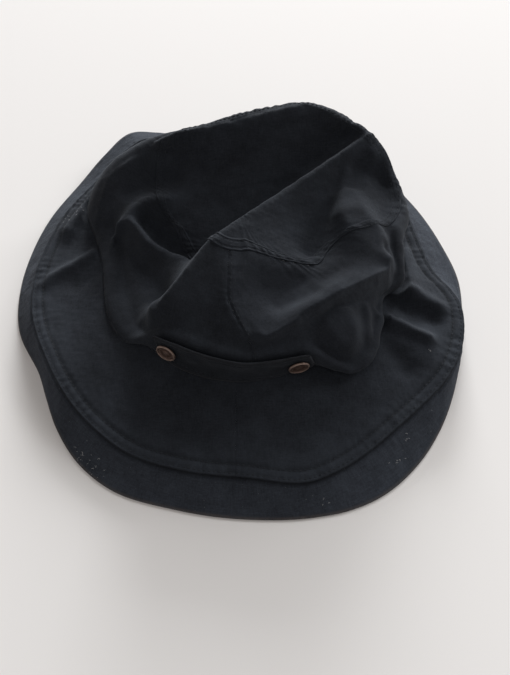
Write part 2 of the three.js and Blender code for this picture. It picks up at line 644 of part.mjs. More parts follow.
function bandBody(brim) {
  const columns = Array.from({ length: TURN_STEPS }, (_, column) => bandColumn(brim, column));
  const rings = BAND_RINGS + 2;
  const points = columns.flatMap((column) => column.top);
  const at = (i, j) => (i % TURN_STEPS) * rings + j;
  const triangles = gridTriangles(at, TURN_STEPS, rings, true);
  const normals = vertexNormals(points, triangles);
  if (normals[0].z < 0) normals.forEach((normal) => normal.negate());
  const inner = points.map((point, k) => {
    const column = Math.floor(k / rings);
    const atHem = k % rings === rings - 1;
    return atHem ? columns[column].hemInner : point.clone().addScaledVector(normals[k], -BAND_CLOTH);
  });
  return closedBody(points, inner, triangles);
}

// The wall's radius at a height, found by halving.
function wallRadius(turn, height) {
  let low = 0;
  let high = 1;
  for (let k = 0; k < 20; k += 1) {
    const middle = (low + high) / 2;
    if (crownWallPoint(turn, middle).z < height) low = middle;
    else high = middle;
  }
  const point = crownWallPoint(turn, high);
  return Math.hypot(point.x, point.y);
}

// A point of the strap's inner face, across from 0 at its left end to 1 and up from 0 to 1.
function strapPoint(across, up, outward) {
  const end = STRAP_END_TURN - STRAP_END_SLANT * Math.max(0, up - STRAP_SLANT_START);
  const turn = STRAP_START_TURN + (end - STRAP_START_TURN) * across;
  const height = STRAP_BOTTOM + (STRAP_TOP - STRAP_BOTTOM) * up;
  const radius = wallRadius(turn, height) + 2 * GAP + STRAP_TOP_STAND * up ** 2 + outward;
  return new THREE.Vector3(radius * Math.sin(turn * RADIANS), -radius * Math.cos(turn * RADIANS), height);
}

function strapBody() {
  const grid = (outward) => {
    const points = [];
    for (let i = 0; i <= STRAP_COLUMNS; i += 1) {
      for (let j = 0; j <= STRAP_ROWS; j += 1) {
        points.push(strapPoint(i / STRAP_COLUMNS, j / STRAP_ROWS, outward));
      }
    }
    return points;
  };
  const at = (i, j) => i * (STRAP_ROWS + 1) + j;
  const triangles = gridTriangles(at, STRAP_COLUMNS + 1, STRAP_ROWS + 1, false);
  return closedBody(grid(STRAP_CLOTH), grid(0), triangles);
}

// A tack button's cap turned about its axis: flat back, rolled rim, dished face, low centre dome.
function buttonGeometry() {
  const r = BUTTON_RADIUS;
  const profile = [
    [0, 0], [0.8 * r, 0], [0.96 * r, 0.4], [r, 1.0], [0.95 * r, 1.7], [0.86 * r, 2.0],
    [0.76 * r, 1.7], [0.68 * r, 1.3], [0.4 * r, 1.6], [0, 1.9],
  ];
  return new THREE.LatheGeometry(profile.map(([x, y]) => new THREE.Vector2(x, y)), BUTTON_SIDES);
}

function clothMesh(name, geometry) {
  const material = new THREE.MeshStandardMaterial({ color: CLOTH_COLOUR, roughness: 0.95, metalness: 0 });
  const mesh = new THREE.Mesh(geometry, material);
  mesh.name = name;
  return mesh;
}

// The cap stands square to the strap's lie under it and clears the highest cloth under its back.
function buttonMesh(name, turn) {
  const material = new THREE.MeshStandardMaterial({ color: BRASS_COLOUR, roughness: 0.45, metalness: 0.85 });
  const mesh = new THREE.Mesh(buttonGeometry(), material);
  mesh.name = name;
  const across = (turn - STRAP_START_TURN) / (STRAP_END_TURN - STRAP_START_TURN);
  const up = (BUTTON_HEIGHT - STRAP_BOTTOM) / (STRAP_TOP - STRAP_BOTTOM);
  const wide = BUTTON_RADIUS / STRAP_LENGTH;
  const tall = BUTTON_RADIUS / (STRAP_TOP - STRAP_BOTTOM);
  const face = (alongShare, upShare) => strapPoint(across + wide * alongShare, up + tall * upShare, STRAP_CLOTH);
  const outward = face(1, 0).sub(face(-1, 0)).cross(face(0, 1).sub(face(0, -1))).normalize();
  const centre = face(0, 0);
  let highest = 0;
  for (let k = 0; k < BUTTON_SIDES; k += 1) {
    const angle = (2 * Math.PI * k) / BUTTON_SIDES;
    const rim = face(Math.cos(angle), Math.sin(angle)).sub(centre);
    highest = Math.max(highest, rim.dot(outward));
  }
  mesh.quaternion.setFromUnitVectors(new THREE.Vector3(0, 1, 0), outward);
  mesh.position.copy(centre).addScaledVector(outward, highest + GAP);
  return mesh;
}

const group = new THREE.Group();
const brim = brimGrid();
const bodies = { ...crownBodies(), ...brimBodies(brim), brim_band: bandBody(brim), strap: strapBody() };
for (const [name, geometry] of Object.entries(bodies)) group.add(clothMesh(name, geometry));
for (const [side, turn] of Object.entries(BUTTON_TURNS)) group.add(buttonMesh(`button_${side}`, turn));

// The origin is under the middle of the hat, on the table.
const box = new THREE.Box3().setFromObject(group, true);
const middle = box.getCenter(new THREE.Vector3());
group.children.forEach((mesh) => {
  mesh.position.x -= middle.x;
  mesh.position.y -= middle.y;
});

export default group;
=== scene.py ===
# A soft charcoal cloth hat, crown up on a pale table, seen from in front and above.
# The form is worked out in millimetres on the hat's own axis and moved into the frame in metres.
import math
import bpy
import numpy as np
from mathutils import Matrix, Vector


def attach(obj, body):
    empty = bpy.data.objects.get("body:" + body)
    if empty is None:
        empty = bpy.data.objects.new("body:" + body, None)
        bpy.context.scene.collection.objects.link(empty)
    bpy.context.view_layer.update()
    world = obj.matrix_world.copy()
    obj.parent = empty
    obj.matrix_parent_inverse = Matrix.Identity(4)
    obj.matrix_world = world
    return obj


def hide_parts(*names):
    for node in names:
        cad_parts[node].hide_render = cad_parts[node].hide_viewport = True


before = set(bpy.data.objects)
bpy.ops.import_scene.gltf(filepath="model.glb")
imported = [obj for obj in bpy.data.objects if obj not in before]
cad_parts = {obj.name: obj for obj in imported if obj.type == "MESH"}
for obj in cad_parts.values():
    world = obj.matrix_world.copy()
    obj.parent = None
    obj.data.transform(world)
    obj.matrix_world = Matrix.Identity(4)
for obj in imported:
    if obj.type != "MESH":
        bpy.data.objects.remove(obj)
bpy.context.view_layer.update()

# Driving sizes in millimetres, the same as the solid model's
OPENING_HALF_WIDTH = 88.0
OPENING_HALF_LENGTH = 98.0
BRIM_CLOTH = 2.0
STRAP_CLOTH = 2.4
GAP = 0.3
CROWN_LIFT = 0.8
AXIS_SHIFT = (-0.064, 4.425)

# The crown seen from above. Columns: turn, bulge radius, bulge height, shoulder width and the
# height of the top where the shoulder ends. The rows from 238 to 309 are lower, wider and softer
# here than in the solid model, and the others are the same.
CROWN_OUTLINE = np.array([
    (0, 94.3, 51, 5, 55), (12, 95.5, 51, 5, 55), (20, 97.2, 51, 5, 55), (25, 99.7, 50, 6, 54),
    (29, 105, 42, 8, 50), (33, 112, 35, 9, 43), (38, 119, 29.5, 8, 34.5),
    (44, 121, 29.5, 8, 35.5), (50, 119, 29.5, 7, 35), (56, 114, 29.5, 6, 35),
    (61, 112, 30, 5, 35), (67, 107, 30, 5, 35), (72, 107, 30, 5, 36),
    (79, 118, 30, 7, 37), (86, 118, 35, 9, 48), (92, 118, 40, 10, 57), (97, 122, 41, 10, 57),
    (102, 128, 41, 10, 56), (108, 130, 46, 10, 58), (114, 129, 54, 9, 66), (120, 128, 62, 8, 78),
    (126, 124, 71, 8, 87), (133, 122, 72, 9, 89), (142, 124, 66, 12, 90), (152, 122, 60, 14, 91),
    (165, 110, 58, 14, 90), (180, 100, 56, 12, 88), (195, 99, 54, 12, 83), (208, 108, 52, 12, 77),
    (216, 118, 52, 15, 71), (223, 127, 42, 19, 65), (230, 133, 35, 22, 58), (238, 134, 25, 24, 49),
    (245, 128, 22.5, 22, 41), (251, 116, 22.2, 18, 35), (258, 107, 23.4, 18, 33.5),
    (268, 100, 25, 17, 33.5), (280, 99, 25.3, 15, 32.5), (297, 102, 26.2, 14, 33),
    (309, 101, 27.8, 12, 35), (315, 97, 35, 7, 41), (320, 93.2, 43, 7, 49), (324, 91, 49, 5, 53),
    (328, 90, 50.5, 5, 54.5), (334, 89.3, 51, 5, 55), (340, 90, 51, 5, 55), (346, 90.9, 51, 5, 55),
    (352, 92.3, 51, 5, 55),
])

# Between these turns the crown's foot runs out softly into the brim, in this script alone.
SOFT_BASE_START = (230, 246)
SOFT_BASE_END = (306, 318)

BULGE_RADIUS, BULGE_HEIGHT, SHOULDER_WIDTH, SHOULDER_TOP = range(1, 5)

# The folds of the crown's top. Columns: name, hold, width of the run, and the run's points.
CROWN_FOLDS = [
    ("main fold", 8, 1.3, [(98, 70, 88), (73, 52, 84), (38, 27, 80), (1, -4, 82), (-17, -21, 84),
        (-32, -39, 77), (-46, -53, 69), (-55, -58, 61)]),
    ("knob", 2, 4, [(-54, -58, 61)]),
    ("below the knob", 0.4, 4, [(-68, -56, 41), (-66, -70, 42)]),
    ("left hollow", 0.6, 5, [(-82, 4, 36), (-69, -14, 36), (-57, -33, 38)]),
    ("back ridge", 3, 1.6, [(83, 84, 91), (51, 96, 93), (20, 88, 91), (-11, 83, 87), (-42, 82, 81),
        (-57, 82, 74)]),
    ("left shoulder", 2, 2, [(-74, 78, 64), (-96, 67, 60), (-103, 50, 52), (-108, 36, 44)]),
    ("lower fork", 0.6, 2, [(-106, 36, 40), (-98, 20, 36)]),
    ("hooked ridge", 4, 1.4, [(-94, 12, 38), (-92, 23, 45), (-81, 29, 51), (-74, 36, 54),
        (-64, 41, 57), (-51, 41, 57)]),
    ("above the hook", 0.5, 3, [(-84, 50, 48), (-62, 58, 52), (-46, 60, 54)]),
    ("inner ridge", 3, 1.6, [(-79, 27, 52), (-72, 20, 51), (-65, 8, 50), (-59, 3, 49),
        (-47, -5, 49), (-38, -11, 52)]),
    ("main valley", 1.2, 3, [(84, 72, 80), (64, 63, 70), (33, 43, 56), (6, 17, 48), (-11, 2, 43),
        (-24, -6, 40)]),
    ("pit", 1.4, 2.5, [(-68, 26, 42), (-59, 17, 37), (-51, 10, 35), (-42, 3, 35), (-34, -3, 37)]),
    ("soft ridge", 0.25, 3, [(-24, 60, 62), (-28, 44, 56), (-33, 32, 51), (-44, 22, 46)]),
    ("seam dip", 0.2, 4, [(7, -26, 77), (33, -31, 69), (52, -29, 64)]),
    ("right dip", 0.9, 3, [(76, 46, 76), (66, 24, 67), (54, 2, 60), (48, -16, 59)]),
    ("right hollow", 0.4, 5, [(80, 36, 70), (93, 46, 68), (106, 42, 60)]),
    ("peak cheek", 0.2, 4, [(97, 58, 83)]),
    ("right bulge", 0.8, 6, [(74, 22, 75), (76, 8, 77), (83, -4, 75), (91, -12, 70),
        (98, -18, 63)]),
    ("outer ridge top", 1.5, 3, [(102, -14, 54), (109, -17, 45), (114, -20, 39)]),
    ("front dent", 0.4, 4, [(18, -53, 64), (30, -53, 61), (43, -47, 62)]),
    ("front ridge", 0.5, 2, [(-9, -37, 78), (-9, -58, 70), (-4, -69, 66), (4, -80, 62)]),
    ("lip fold", 3, 2.5, [(13, -76, 64), (28, -69, 68), (44, -60, 71), (61, -49, 72), (75, -40, 69),
        (87, -32, 65), (96, -25, 60)]),
    ("behind the lip", 0.8, 3, [(23, -58, 62), (38, -50, 63), (54, -39, 65), (68, -29, 67)]),
    ("lip edge", 3, 1.5, [(37, -69, 62), (44, -64, 64), (50, -61, 66), (60, -56, 67), (72, -50, 64),
        (84, -41, 59), (94, -32, 52), (101, -25, 45)]),
    ("under the lip", 3, 1.5, [(43, -77, 56), (47, -71, 58), (53, -66, 60), (62, -61, 60),
        (74, -55, 55), (87, -46, 46), (98, -35, 38)]),
    ("front bulge", 1.2, 6, [(61, -67, 61), (66, -77, 55), (70, -85, 48)]),
    ("column", 1, 3, [(82, -56, 49), (86, -70, 43), (87, -81, 37)]),
    ("sharp ridge top", 1.5, 1.5, [(90, -50, 41), (104, -56, 35)]),
]

# Where a fold leans out over what is below it. Columns: fold, direction, reach, width.
LEANING_FOLDS = [("lip fold", 0.45, -0.9, 7.0, 8.0)]

# The seam between the tip panel and the side band. Columns: turn, radius.
TIP_SEAM = np.array([
    (0, 27), (15, 27), (32, 33), (48, 45), (60, 59), (72, 62), (80, 69), (86, 87), (94, 105),
    (101, 117), (109, 124), (118, 124), (130, 117), (142, 117), (152, 114), (165, 102), (180, 93),
    (195, 92), (205, 95), (213, 96), (220, 91), (228, 80), (235, 70), (243, 52), (255, 42),
    (270, 35), (300, 27), (325, 29), (345, 28),
])

# The side band's seam at the centre of the front. Columns: radius, turn.
FRONT_SEAM = np.array([(28, -13), (38, -11), (58, -8), (69, -2.5), (82, 3.5), (99, 4)])
FRONT_SEAM_REACH = 60.0
BACK_SEAM_TURN = 180.0

# The brim round the hat. Columns: turn, edge radius, edge height, lap radius, lap height and the
# height of the head opening's seam.
BRIM = np.array([
    (0, 179, 0, 157, 15, 32), (13, 184, 0, 165, 13, 32), (20, 187, 0, 165, 14, 32),
    (28, 188, 0, 163, 15, 31), (37, 185, 0, 161, 16, 30), (46, 180, 0, 162, 17, 29),
    (56, 174, 0, 166, 20, 28), (66, 169, 0, 166, 21, 28), (78, 166, 1, 160, 20, 28),
    (90, 166, 1, 143, 16, 28), (102, 163, 1, 140, 16, 28), (114, 162, 2, 143, 17, 28),
    (125, 162, 4, 144, 18, 28), (140, 165, 10, 146, 23, 29), (155, 169, 20, 150, 30, 31),
    (166, 172, 26, 152, 35, 32), (174, 172, 23, 152, 32, 32), (184, 170, 11, 150, 24, 31),
    (195, 168, 5, 148, 20, 30), (203, 171, 13, 150, 25, 30), (211, 174, 20, 152, 30, 30),
    (220, 170, 15, 149, 26, 30), (231, 169, 4, 148, 20, 28), (244, 168, 1, 149, 18, 27),
    (256, 166, 1, 149, 18, 27), (268, 166, 0, 150, 19, 27), (282, 165, 0, 151, 20, 27),
    (295, 159, 0, 150, 21, 28), (303, 162, 0, 151, 20, 29), (312, 169, 0, 153, 18, 30),
    (322, 176, 0, 155, 16, 31), (332, 179, 0, 157, 15, 32), (345, 177, 0, 156, 15, 32),
])
HEM_RADIUS, HEM_HEIGHT, LAP_RADIUS, LAP_HEIGHT, ROOT_HEIGHT = range(1, 6)
BRIM_SAG = 2.0
BAND_SWELL = 1.2
BRIM_SEAM_TURN = -2.5

# Ridges and hollows of the brim. Columns: name, start, end, height, width. The right hollow and
# the outer ridge are slightly flatter here than in the solid model.
BRIM_FOLDS = [
    ("right ridge", (103, -51), (128, -65), 6, 5),
    ("front of the right ridge", (98, -60), (128, -78), 3, 12),
    ("right root", (123, 14), (124, -22), 5, 8),
    ("left root", (-100, 14), (-82, -52), 2.5, 6),
    ("left rear root", (-98, 100), (-132, 46), 8, 9),
    ("right hollow", (106, -32), (134, -45), -4.5, 9),
    ("outer ridge", (112, -22), (142, -38), 5, 6.5),
    ("left ridge", (-102, 22), (-150, -8), 4, 5),
    ("below the left ridge", (-98, 4), (-118, -8), -2, 8),
    ("front right hollow", (100, -68), (110, -85), -3, 8),
]
BRIM_FOLD_FADE = 5.0

# The strap across the front and its two tack buttons
STRAP_START_TURN = -36.5
STRAP_END_TURN = 26.5
STRAP_END_SLANT = 3.5
STRAP_BOTTOM = 33.4
STRAP_TOP = 53.5
STRAP_TOP_STAND = 1.6
STRAP_LENGTH = 108.0
STRAP_BACK_STAND = 0.2
STRAP_EDGE_DROP = 1.1
STRAP_EDGE_WIDTH = 1.6
STRAP_WIDTH = STRAP_TOP - STRAP_BOTTOM
STRAP_STITCH_MARGIN = 2.4
BUTTON_HEIGHT = 43.0
BUTTON_TURNS = {"left": -31.0, "right": 21.0}
BUTTON_RADIUS = 7.0

# Steps of the fine cloth
COLUMNS = 720
SIDE_COLUMNS = COLUMNS // 2
TIP_RINGS = 104
SIDE_TOP_RINGS = 64
SIDE_WALL_RINGS = 44
BRIM_COLUMNS = 1000
BRIM_RINGS = 72
BAND_RINGS = 40
STRAP_STEPS = (190, 44)


# Numbers that every form uses

def round_table(rows, column, turn):
    """Smooth closed curve through a table's rows, read at turns in degrees."""
    keys = rows[:, 0]
    values = rows[:, column]
    count = len(keys)
    at = np.mod(turn, 360.0)
    k = np.searchsorted(keys, at, side="right") - 1

    def angle(i):
        return keys[i % count] + 360.0 * (i // count)

    def slope(i):
        rise = values[(i + 1) % count] - values[(i - 1) % count]
        return rise / (angle(i + 1) - angle(i - 1))

    span = angle(k + 1) - angle(k)
    u = (at - angle(k)) / span
    start = (2 * u ** 3 - 3 * u ** 2 + 1) * values[k % count]
    end = (3 * u ** 2 - 2 * u ** 3) * values[(k + 1) % count]
    return start + end + span * ((u ** 3 - 2 * u ** 2 + u) * slope(k) + (u ** 3 - u ** 2) * slope(k + 1))


def near_run(x, y, run):
    """Distance to a run and the height of its nearest point."""
    run = np.array(run, float)
    if len(run) == 1:
        run = np.repeat(run, 2, axis=0)
    best = np.full(np.shape(x), np.inf)
    height = np.zeros(np.shape(x))
    for a, b in zip(run[:-1], run[1:]):
        length2 = max((b[0] - a[0]) ** 2 + (b[1] - a[1]) ** 2, 1e-9)
        t = np.clip(((x - a[0]) * (b[0] - a[0]) + (y - a[1]) * (b[1] - a[1])) / length2, 0, 1)
        distance = np.hypot(x - a[0] - t * (b[0] - a[0]), y - a[1] - t * (b[1] - a[1]))
        closer = distance < best
        best = np.where(closer, distance, best)
        height = np.where(closer, a[2] + t * (b[2] - a[2]), height)
    return best, height


def smooth_step(low, high, value):
    t = np.clip((value - low) / (high - low), 0, 1)
    return t * t * (3 - 2 * t)


def bell(value, width):
    return np.exp(-(value / width) ** 2)


def waves(seed, x, y, wavelength, count=14):
    """Soft seeded unevenness of about one unit, with bumps about one wavelength apart."""
    rng = np.random.default_rng(seed)
    total = np.zeros(np.shape(x))
    for _ in range(count):
        heading = rng.uniform(0, 2 * math.pi)
        number = 2 * math.pi / (wavelength * rng.uniform(0.7, 1.5))
        total += np.sin(number * (x * math.cos(heading) + y * math.sin(heading)) + rng.uniform(0, 6.28))
    return total / math.sqrt(count / 2)


def round_waves(seed, around, wavelength, count=10):
    """Soft seeded unevenness along one line."""
    rng = np.random.default_rng(seed)
    total = np.zeros(np.shape(around))
    for _ in range(count):
        number = 2 * math.pi / (wavelength * rng.uniform(0.65, 1.6))
        total += np.sin(number * around + rng.uniform(0, 6.28))
    return total / math.sqrt(count / 2)


# The crown's form

CELL = 2.0
SHEET_HALF = 136.0
SHEET_SIDE = int(2 * SHEET_HALF / CELL) + 1
SETTLE_SWEEPS = 1500
CLOTH_STIFFNESS = 0.6
SETTLE_RATE = 0.7
RIM_HOLD = 20.0
RIM_SOFTNESS = 0.8
NEAR_CELLS = ((-1, 0), (1, 0), (0, -1), (0, 1))
CORNER_CELLS = ((-1, -1), (1, -1), (-1, 1), (1, 1))
FAR_CELLS = ((-2, 0), (2, 0), (0, -2), (0, 2))


def turn_of(x, y):
    return np.degrees(np.arctan2(x, -y))


def opening_radius(turn):
    across = np.sin(np.radians(turn)) / OPENING_HALF_WIDTH
    along = np.cos(np.radians(turn)) / OPENING_HALF_LENGTH
    return 1 / np.hypot(across, along)


def round_point(turn, radius, height):
    """A point by its turn in degrees, its distance from the hat's axis and its height."""
    side = np.radians(turn)
    return np.stack([radius * np.sin(side), -radius * np.cos(side), height], -1)


def held_sheet():
    """Holds, pulls and first heights of the crown's top as a square sheet of cells."""
    line = np.arange(SHEET_SIDE) * CELL - SHEET_HALF
    x, y = np.meshgrid(line, line, indexing="ij")
    hold = np.zeros_like(x)
    pull = np.zeros_like(x)
    blend = np.zeros_like(x)
    share = np.zeros_like(x)
    for _, strength, width, run in CROWN_FOLDS:
        distance, height = near_run(x, y, run)
        weight = strength * bell(distance, width)
        hold += weight
        pull += weight * height
        part = min(strength, 1) / (distance ** 2 + 9)
        blend += part * height
        share += part
    turn = turn_of(x, y)
    rim = round_table(CROWN_OUTLINE, BULGE_RADIUS, turn)
    rim = rim - round_table(CROWN_OUTLINE, SHOULDER_WIDTH, turn)
    rim_height = round_table(CROWN_OUTLINE, SHOULDER_TOP, turn)
    outside = np.hypot(x, y) - rim
    weight = RIM_HOLD / (1 + np.exp(np.clip(-(outside - 1) / RIM_SOFTNESS, -60, 60)))
    hold += weight
    pull += weight * rim_height
    return hold, pull, np.where(outside > 0, rim_height, blend / share)


def settled_sheet():
    """The crown's top settled like cloth that is pulled tight and a little stiff."""
    hold, pull, height = held_sheet()
    for _ in range(SETTLE_SWEEPS):
        wide = np.pad(height, 2, mode="edge")

        def around(cells):
            return sum(wide[2 + i:2 + i + SHEET_SIDE, 2 + j:2 + j + SHEET_SIDE] for i, j in cells)

        near, corner, far = around(NEAR_CELLS), around(CORNER_CELLS), around(FAR_CELLS)
        tight = near / 4
        stiff = (8 * near - 2 * corner - far) / 20
        free = tight + CLOTH_STIFFNESS * (stiff - tight)
        height = height + SETTLE_RATE * ((free + pull) / (1 + hold) - height)
    return height


def cubic(a, b, c, d, t):
    return b + 0.5 * t * (c - a + t * (2 * a - 5 * b + 4 * c - d + t * (3 * (b - c) + d - a)))


SHEET = settled_sheet()


def top_height(x, y):
    u = np.clip((x + SHEET_HALF) / CELL, 1, SHEET_SIDE - 2.001)
    v = np.clip((y + SHEET_HALF) / CELL, 1, SHEET_SIDE - 2.001)
    i = np.clip(np.floor(u).astype(int), 1, SHEET_SIDE - 3)
    j = np.clip(np.floor(v).astype(int), 1, SHEET_SIDE - 3)
    across = [cubic(*[SHEET[i + s, j + t] for t in (-1, 0, 1, 2)], v - j) for s in (-1, 0, 1, 2)]
    return cubic(*across, u - i)


def crown_top_point(x, y):
    """Points of the crown's top, by their place seen from above."""
    turn = turn_of(x, y)
    bulge_height = round_table(CROWN_OUTLINE, BULGE_HEIGHT, turn)
    inside = round_table(CROWN_OUTLINE, BULGE_RADIUS, turn) - np.hypot(x, y)
    share = np.clip(inside / round_table(CROWN_OUTLINE, SHOULDER_WIDTH, turn), 0, 1)
    rise = np.sqrt(1 - (1 - share) ** 2)
    run_out = smooth_step(*SOFT_BASE_START, turn) * (1 - smooth_step(*SOFT_BASE_END, turn))
    rise = rise + run_out * (smooth_step(0, 1, share) - rise)
    z = bulge_height + (top_height(x, y) - bulge_height) * rise
    px = x.copy()
    py = y.copy()
    for name, dx, dy, reach, width in LEANING_FOLDS:
        run = next(fold[3] for fold in CROWN_FOLDS if fold[0] == name)
        lean = reach * share * bell(near_run(x, y, run)[0], width)
        px += lean * dx
        py += lean * dy
    return np.stack([px, py, z], -1)


def crown_wall_point(turn, share):
    """Points of the side band's wall: 0 at the head opening, 1 at the bulge."""
    opening = opening_radius(turn)
    bulge = round_table(CROWN_OUTLINE, BULGE_RADIUS, turn)
    root = round_table(BRIM, ROOT_HEIGHT, turn)
    start = root + CROWN_LIFT
    drop = round_table(BRIM, LAP_HEIGHT, turn) - root
    fall = drop / (round_table(BRIM, LAP_RADIUS, turn) - opening)
    angle = share * math.pi / 2
    radius = opening + (bulge - opening) * np.sin(angle)
    curl = round_table(CROWN_OUTLINE, BULGE_HEIGHT, turn) - start - fall * (bulge - opening)
    height = start + fall * (radius - opening) + curl * (1 - np.cos(angle))
    return round_point(turn, radius, height)


def crown_turn(portion, radius):
    """Turn of a column of the crown: 0 and 1 at the front seam, 0.5 at the back seam."""
    start = np.interp(0, FRONT_SEAM[:, 0], FRONT_SEAM[:, 1])
    right = start + (BACK_SEAM_TURN - start) * portion * 2
    left = BACK_SEAM_TURN + (360 + start - BACK_SEAM_TURN) * (portion * 2 - 1)
    base = np.where(portion <= 0.5, right, left)
    away = np.where(portion <= 0.5, base - start, 360 + start - base)
    follow = np.maximum(0, 1 - away / FRONT_SEAM_REACH) ** 2
    return base + follow * (np.interp(radius, FRONT_SEAM[:, 0], FRONT_SEAM[:, 1]) - start)


def plan_point(turn, radius):
    side = np.radians(turn)
    return crown_top_point(radius * np.sin(side), -radius * np.cos(side))


def tip_grid():
    """The tip panel: columns round the seam, rings from near the pole out to the seam."""
    portion = np.arange(COLUMNS) / COLUMNS
    seam_turn = crown_turn(portion, 0.0)
    share = np.linspace(1.0 / TIP_RINGS, 1, TIP_RINGS)
    radius = round_table(TIP_SEAM, 1, seam_turn)[:, None] * share[None, :]
    return plan_point(np.repeat(seam_turn[:, None], TIP_RINGS, axis=1), radius)


def side_grid(first, last):
    """Half of the side band: columns between two seams, rings from the tip seam to the opening."""
    portion = np.linspace(first, last, SIDE_COLUMNS + 1)[:, None]
    seam_turn = crown_turn(portion, 0.0)
    seam_radius = round_table(TIP_SEAM, 1, seam_turn)
    outline = round_table(CROWN_OUTLINE, BULGE_RADIUS, seam_turn)
    share = np.linspace(0, 1, SIDE_TOP_RINGS + 1)[None, :]
    turn = crown_turn(portion, seam_radius + (outline - seam_radius) * share)
    bulge = round_table(CROWN_OUTLINE, BULGE_RADIUS, turn)
    top = plan_point(turn, seam_radius + (bulge - seam_radius) * share)
    wall_share = np.linspace(1, 0, SIDE_WALL_RINGS + 1)[None, 1:]
    wall_turn = np.repeat(crown_turn(portion, outline), SIDE_WALL_RINGS, axis=1)
    wall = crown_wall_point(wall_turn, np.repeat(wall_share, len(portion), axis=0))
    return np.concatenate([top, wall], axis=1)


# The brim's form

def brim_fold_height(x, y):
    height = np.zeros(np.shape(x))
    for _, start, end, rise, width in BRIM_FOLDS:
        distance, _ = near_run(x, y, [(*start, 0), (*end, 0)])
        height += rise * bell(distance, width)
    return height


def brim_point(turn, share):
    """Points of the inner brim's upper face: 0 at the head opening, 1 at the lapped seam."""
    opening = opening_radius(turn)
    radius = opening + (round_table(BRIM, LAP_RADIUS, turn) - opening) * share
    root = round_table(BRIM, ROOT_HEIGHT, turn)
    x = radius * np.sin(np.radians(turn))
    y = -radius * np.cos(np.radians(turn))
    clear = np.clip((radius - round_table(CROWN_OUTLINE, BULGE_RADIUS, turn)) / BRIM_FOLD_FADE, 0, 1)
    fold = brim_fold_height(x, y)
    height = root + (round_table(BRIM, LAP_HEIGHT, turn) - root) * share
    height = height - BRIM_SAG * np.sin(math.pi * share)
    height += fold * np.where(fold > 0, clear, 1) * np.clip(4 * (1 - share), 0, 1)
    return np.stack([x, y, height], -1)


def band_point(turn, share):
    """Points of the outer band's upper face: 0 at the lapped seam, 1 at the hem."""
    lap = brim_point(turn, np.ones_like(turn))
    lap[..., 2] -= BRIM_CLOTH + GAP
    hem_height = np.maximum(0, round_table(BRIM, HEM_HEIGHT, turn))
    hem = round_point(turn, round_table(BRIM, HEM_RADIUS, turn), hem_height)
    point = lap + (hem - lap) * share[..., None]
    outward = round_point(turn, 1.0, np.zeros_like(turn))
    return point + outward * (BAND_SWELL * np.sin(math.pi * share))[..., None]


# Measures on a grid of points

def grid_normals(points, closed):
    """Unit normals of a grid, pointing up and outward."""
    if closed:
        along = np.roll(points, -1, axis=0) - np.roll(points, 1, axis=0)
    else:
        along = np.gradient(points, axis=0)
    across = np.gradient(points, axis=1)
    normal = np.cross(across, along)
    length = np.linalg.norm(normal, axis=-1, keepdims=True)
    normal = normal / np.maximum(length, 1e-9)
    if normal[..., 2].mean() < 0:
        normal = -normal
    return normal


def unit(vectors):
    return vectors / np.linalg.norm(vectors, axis=-1, keepdims=True)


def way_along(points, axis):
    """Distance from the first point, along one axis of a line or grid of points."""
    step = np.linalg.norm(np.diff(points, axis=axis), axis=-1)
    start = np.zeros_like(np.take(step, [0], axis=axis))
    return np.concatenate([start, np.cumsum(step, axis=axis)], axis=axis)


def ring_lengths(points):
    """Distance along each column from its first ring."""
    return way_along(points, 1)


def point_at(distance, lengths, line):
    """Points of a line at one or more distances along it."""
    return np.stack([np.interp(distance, lengths, line[:, k]) for k in range(3)], -1)


def row_at(points, lengths, distance):
    """The points at one distance along every column."""
    return np.array([point_at(distance, length, column) for column, length in zip(points, lengths)])


def outward_of(points):
    """Level unit vectors away from the hat's axis."""
    return unit(points * np.array([1.0, 1.0, 0.0]))


def column_grid(columns, rings):
    """Each point's column value, and its share of the way from the first ring to the last."""
    return np.meshgrid(columns, np.linspace(0, 1, rings + 1), indexing="ij")


def with_rolled_edge(points, normals, back, roll):
    """A grid carried on over its last ring, away from the ring that is some way back."""
    outward = unit(points[:, -1] - points[:, -back])
    edge = [points[:, -1] + outward * a + normals[:, -1] * b for a, b in roll]
    return np.concatenate([points, np.stack(edge, 1)], axis=1)


# Meshes

MILLIMETRE = 0.001
UP = np.array([0.0, 0.0, 1.0])


def placed(points):
    """Millimetres on the hat's axis as metres in the frame."""
    moved = np.array(points, float).reshape(-1, 3) + np.array([*AXIS_SHIFT, 0.0])
    return moved * MILLIMETRE


def shown(name, data):
    made = bpy.data.objects.new(name, data)
    bpy.context.scene.collection.objects.link(made)
    return made


def mesh_piece(name, points, faces, material, uv=None, wear=None, hollow=None):
    """A smooth mesh with the cloth's coordinates, and each point's share of wear and painted light and
    its share of painted shade.
    """
    mesh = bpy.data.meshes.new(name)
    mesh.from_pydata(placed(points).tolist(), [], [list(f) for f in faces])
    mesh.update()
    mesh.polygons.foreach_set("use_smooth", [True] * len(mesh.polygons))
    corner = np.zeros(len(mesh.loops), dtype=np.int32)
    mesh.loops.foreach_get("vertex_index", corner)
    if uv is not None:
        layer = mesh.uv_layers.new(name="cloth")
        place = np.array(uv, float).reshape(-1, 2)[corner] * MILLIMETRE
        layer.data.foreach_set("uv", place.ravel())
    for label, share in (("wear", wear), ("hollow", hollow)):
        shade = mesh.attributes.new(label, "FLOAT", "POINT")
        values = np.zeros(len(mesh.vertices)) if share is None else np.clip(np.ravel(share), 0, 1)
        shade.data.foreach_set("value", values)
    mesh.materials.append(material)
    return shown(name, mesh)


def grid_faces(columns, rings, closed):
    steps = columns if closed else columns - 1
    i, j = np.meshgrid(np.arange(steps), np.arange(rings - 1), indexing="ij")
    after = (i + 1) % columns
    corners = [i * rings + j, i * rings + j + 1, after * rings + j + 1, after * rings + j]
    return np.stack(corners, -1).reshape(-1, 4)


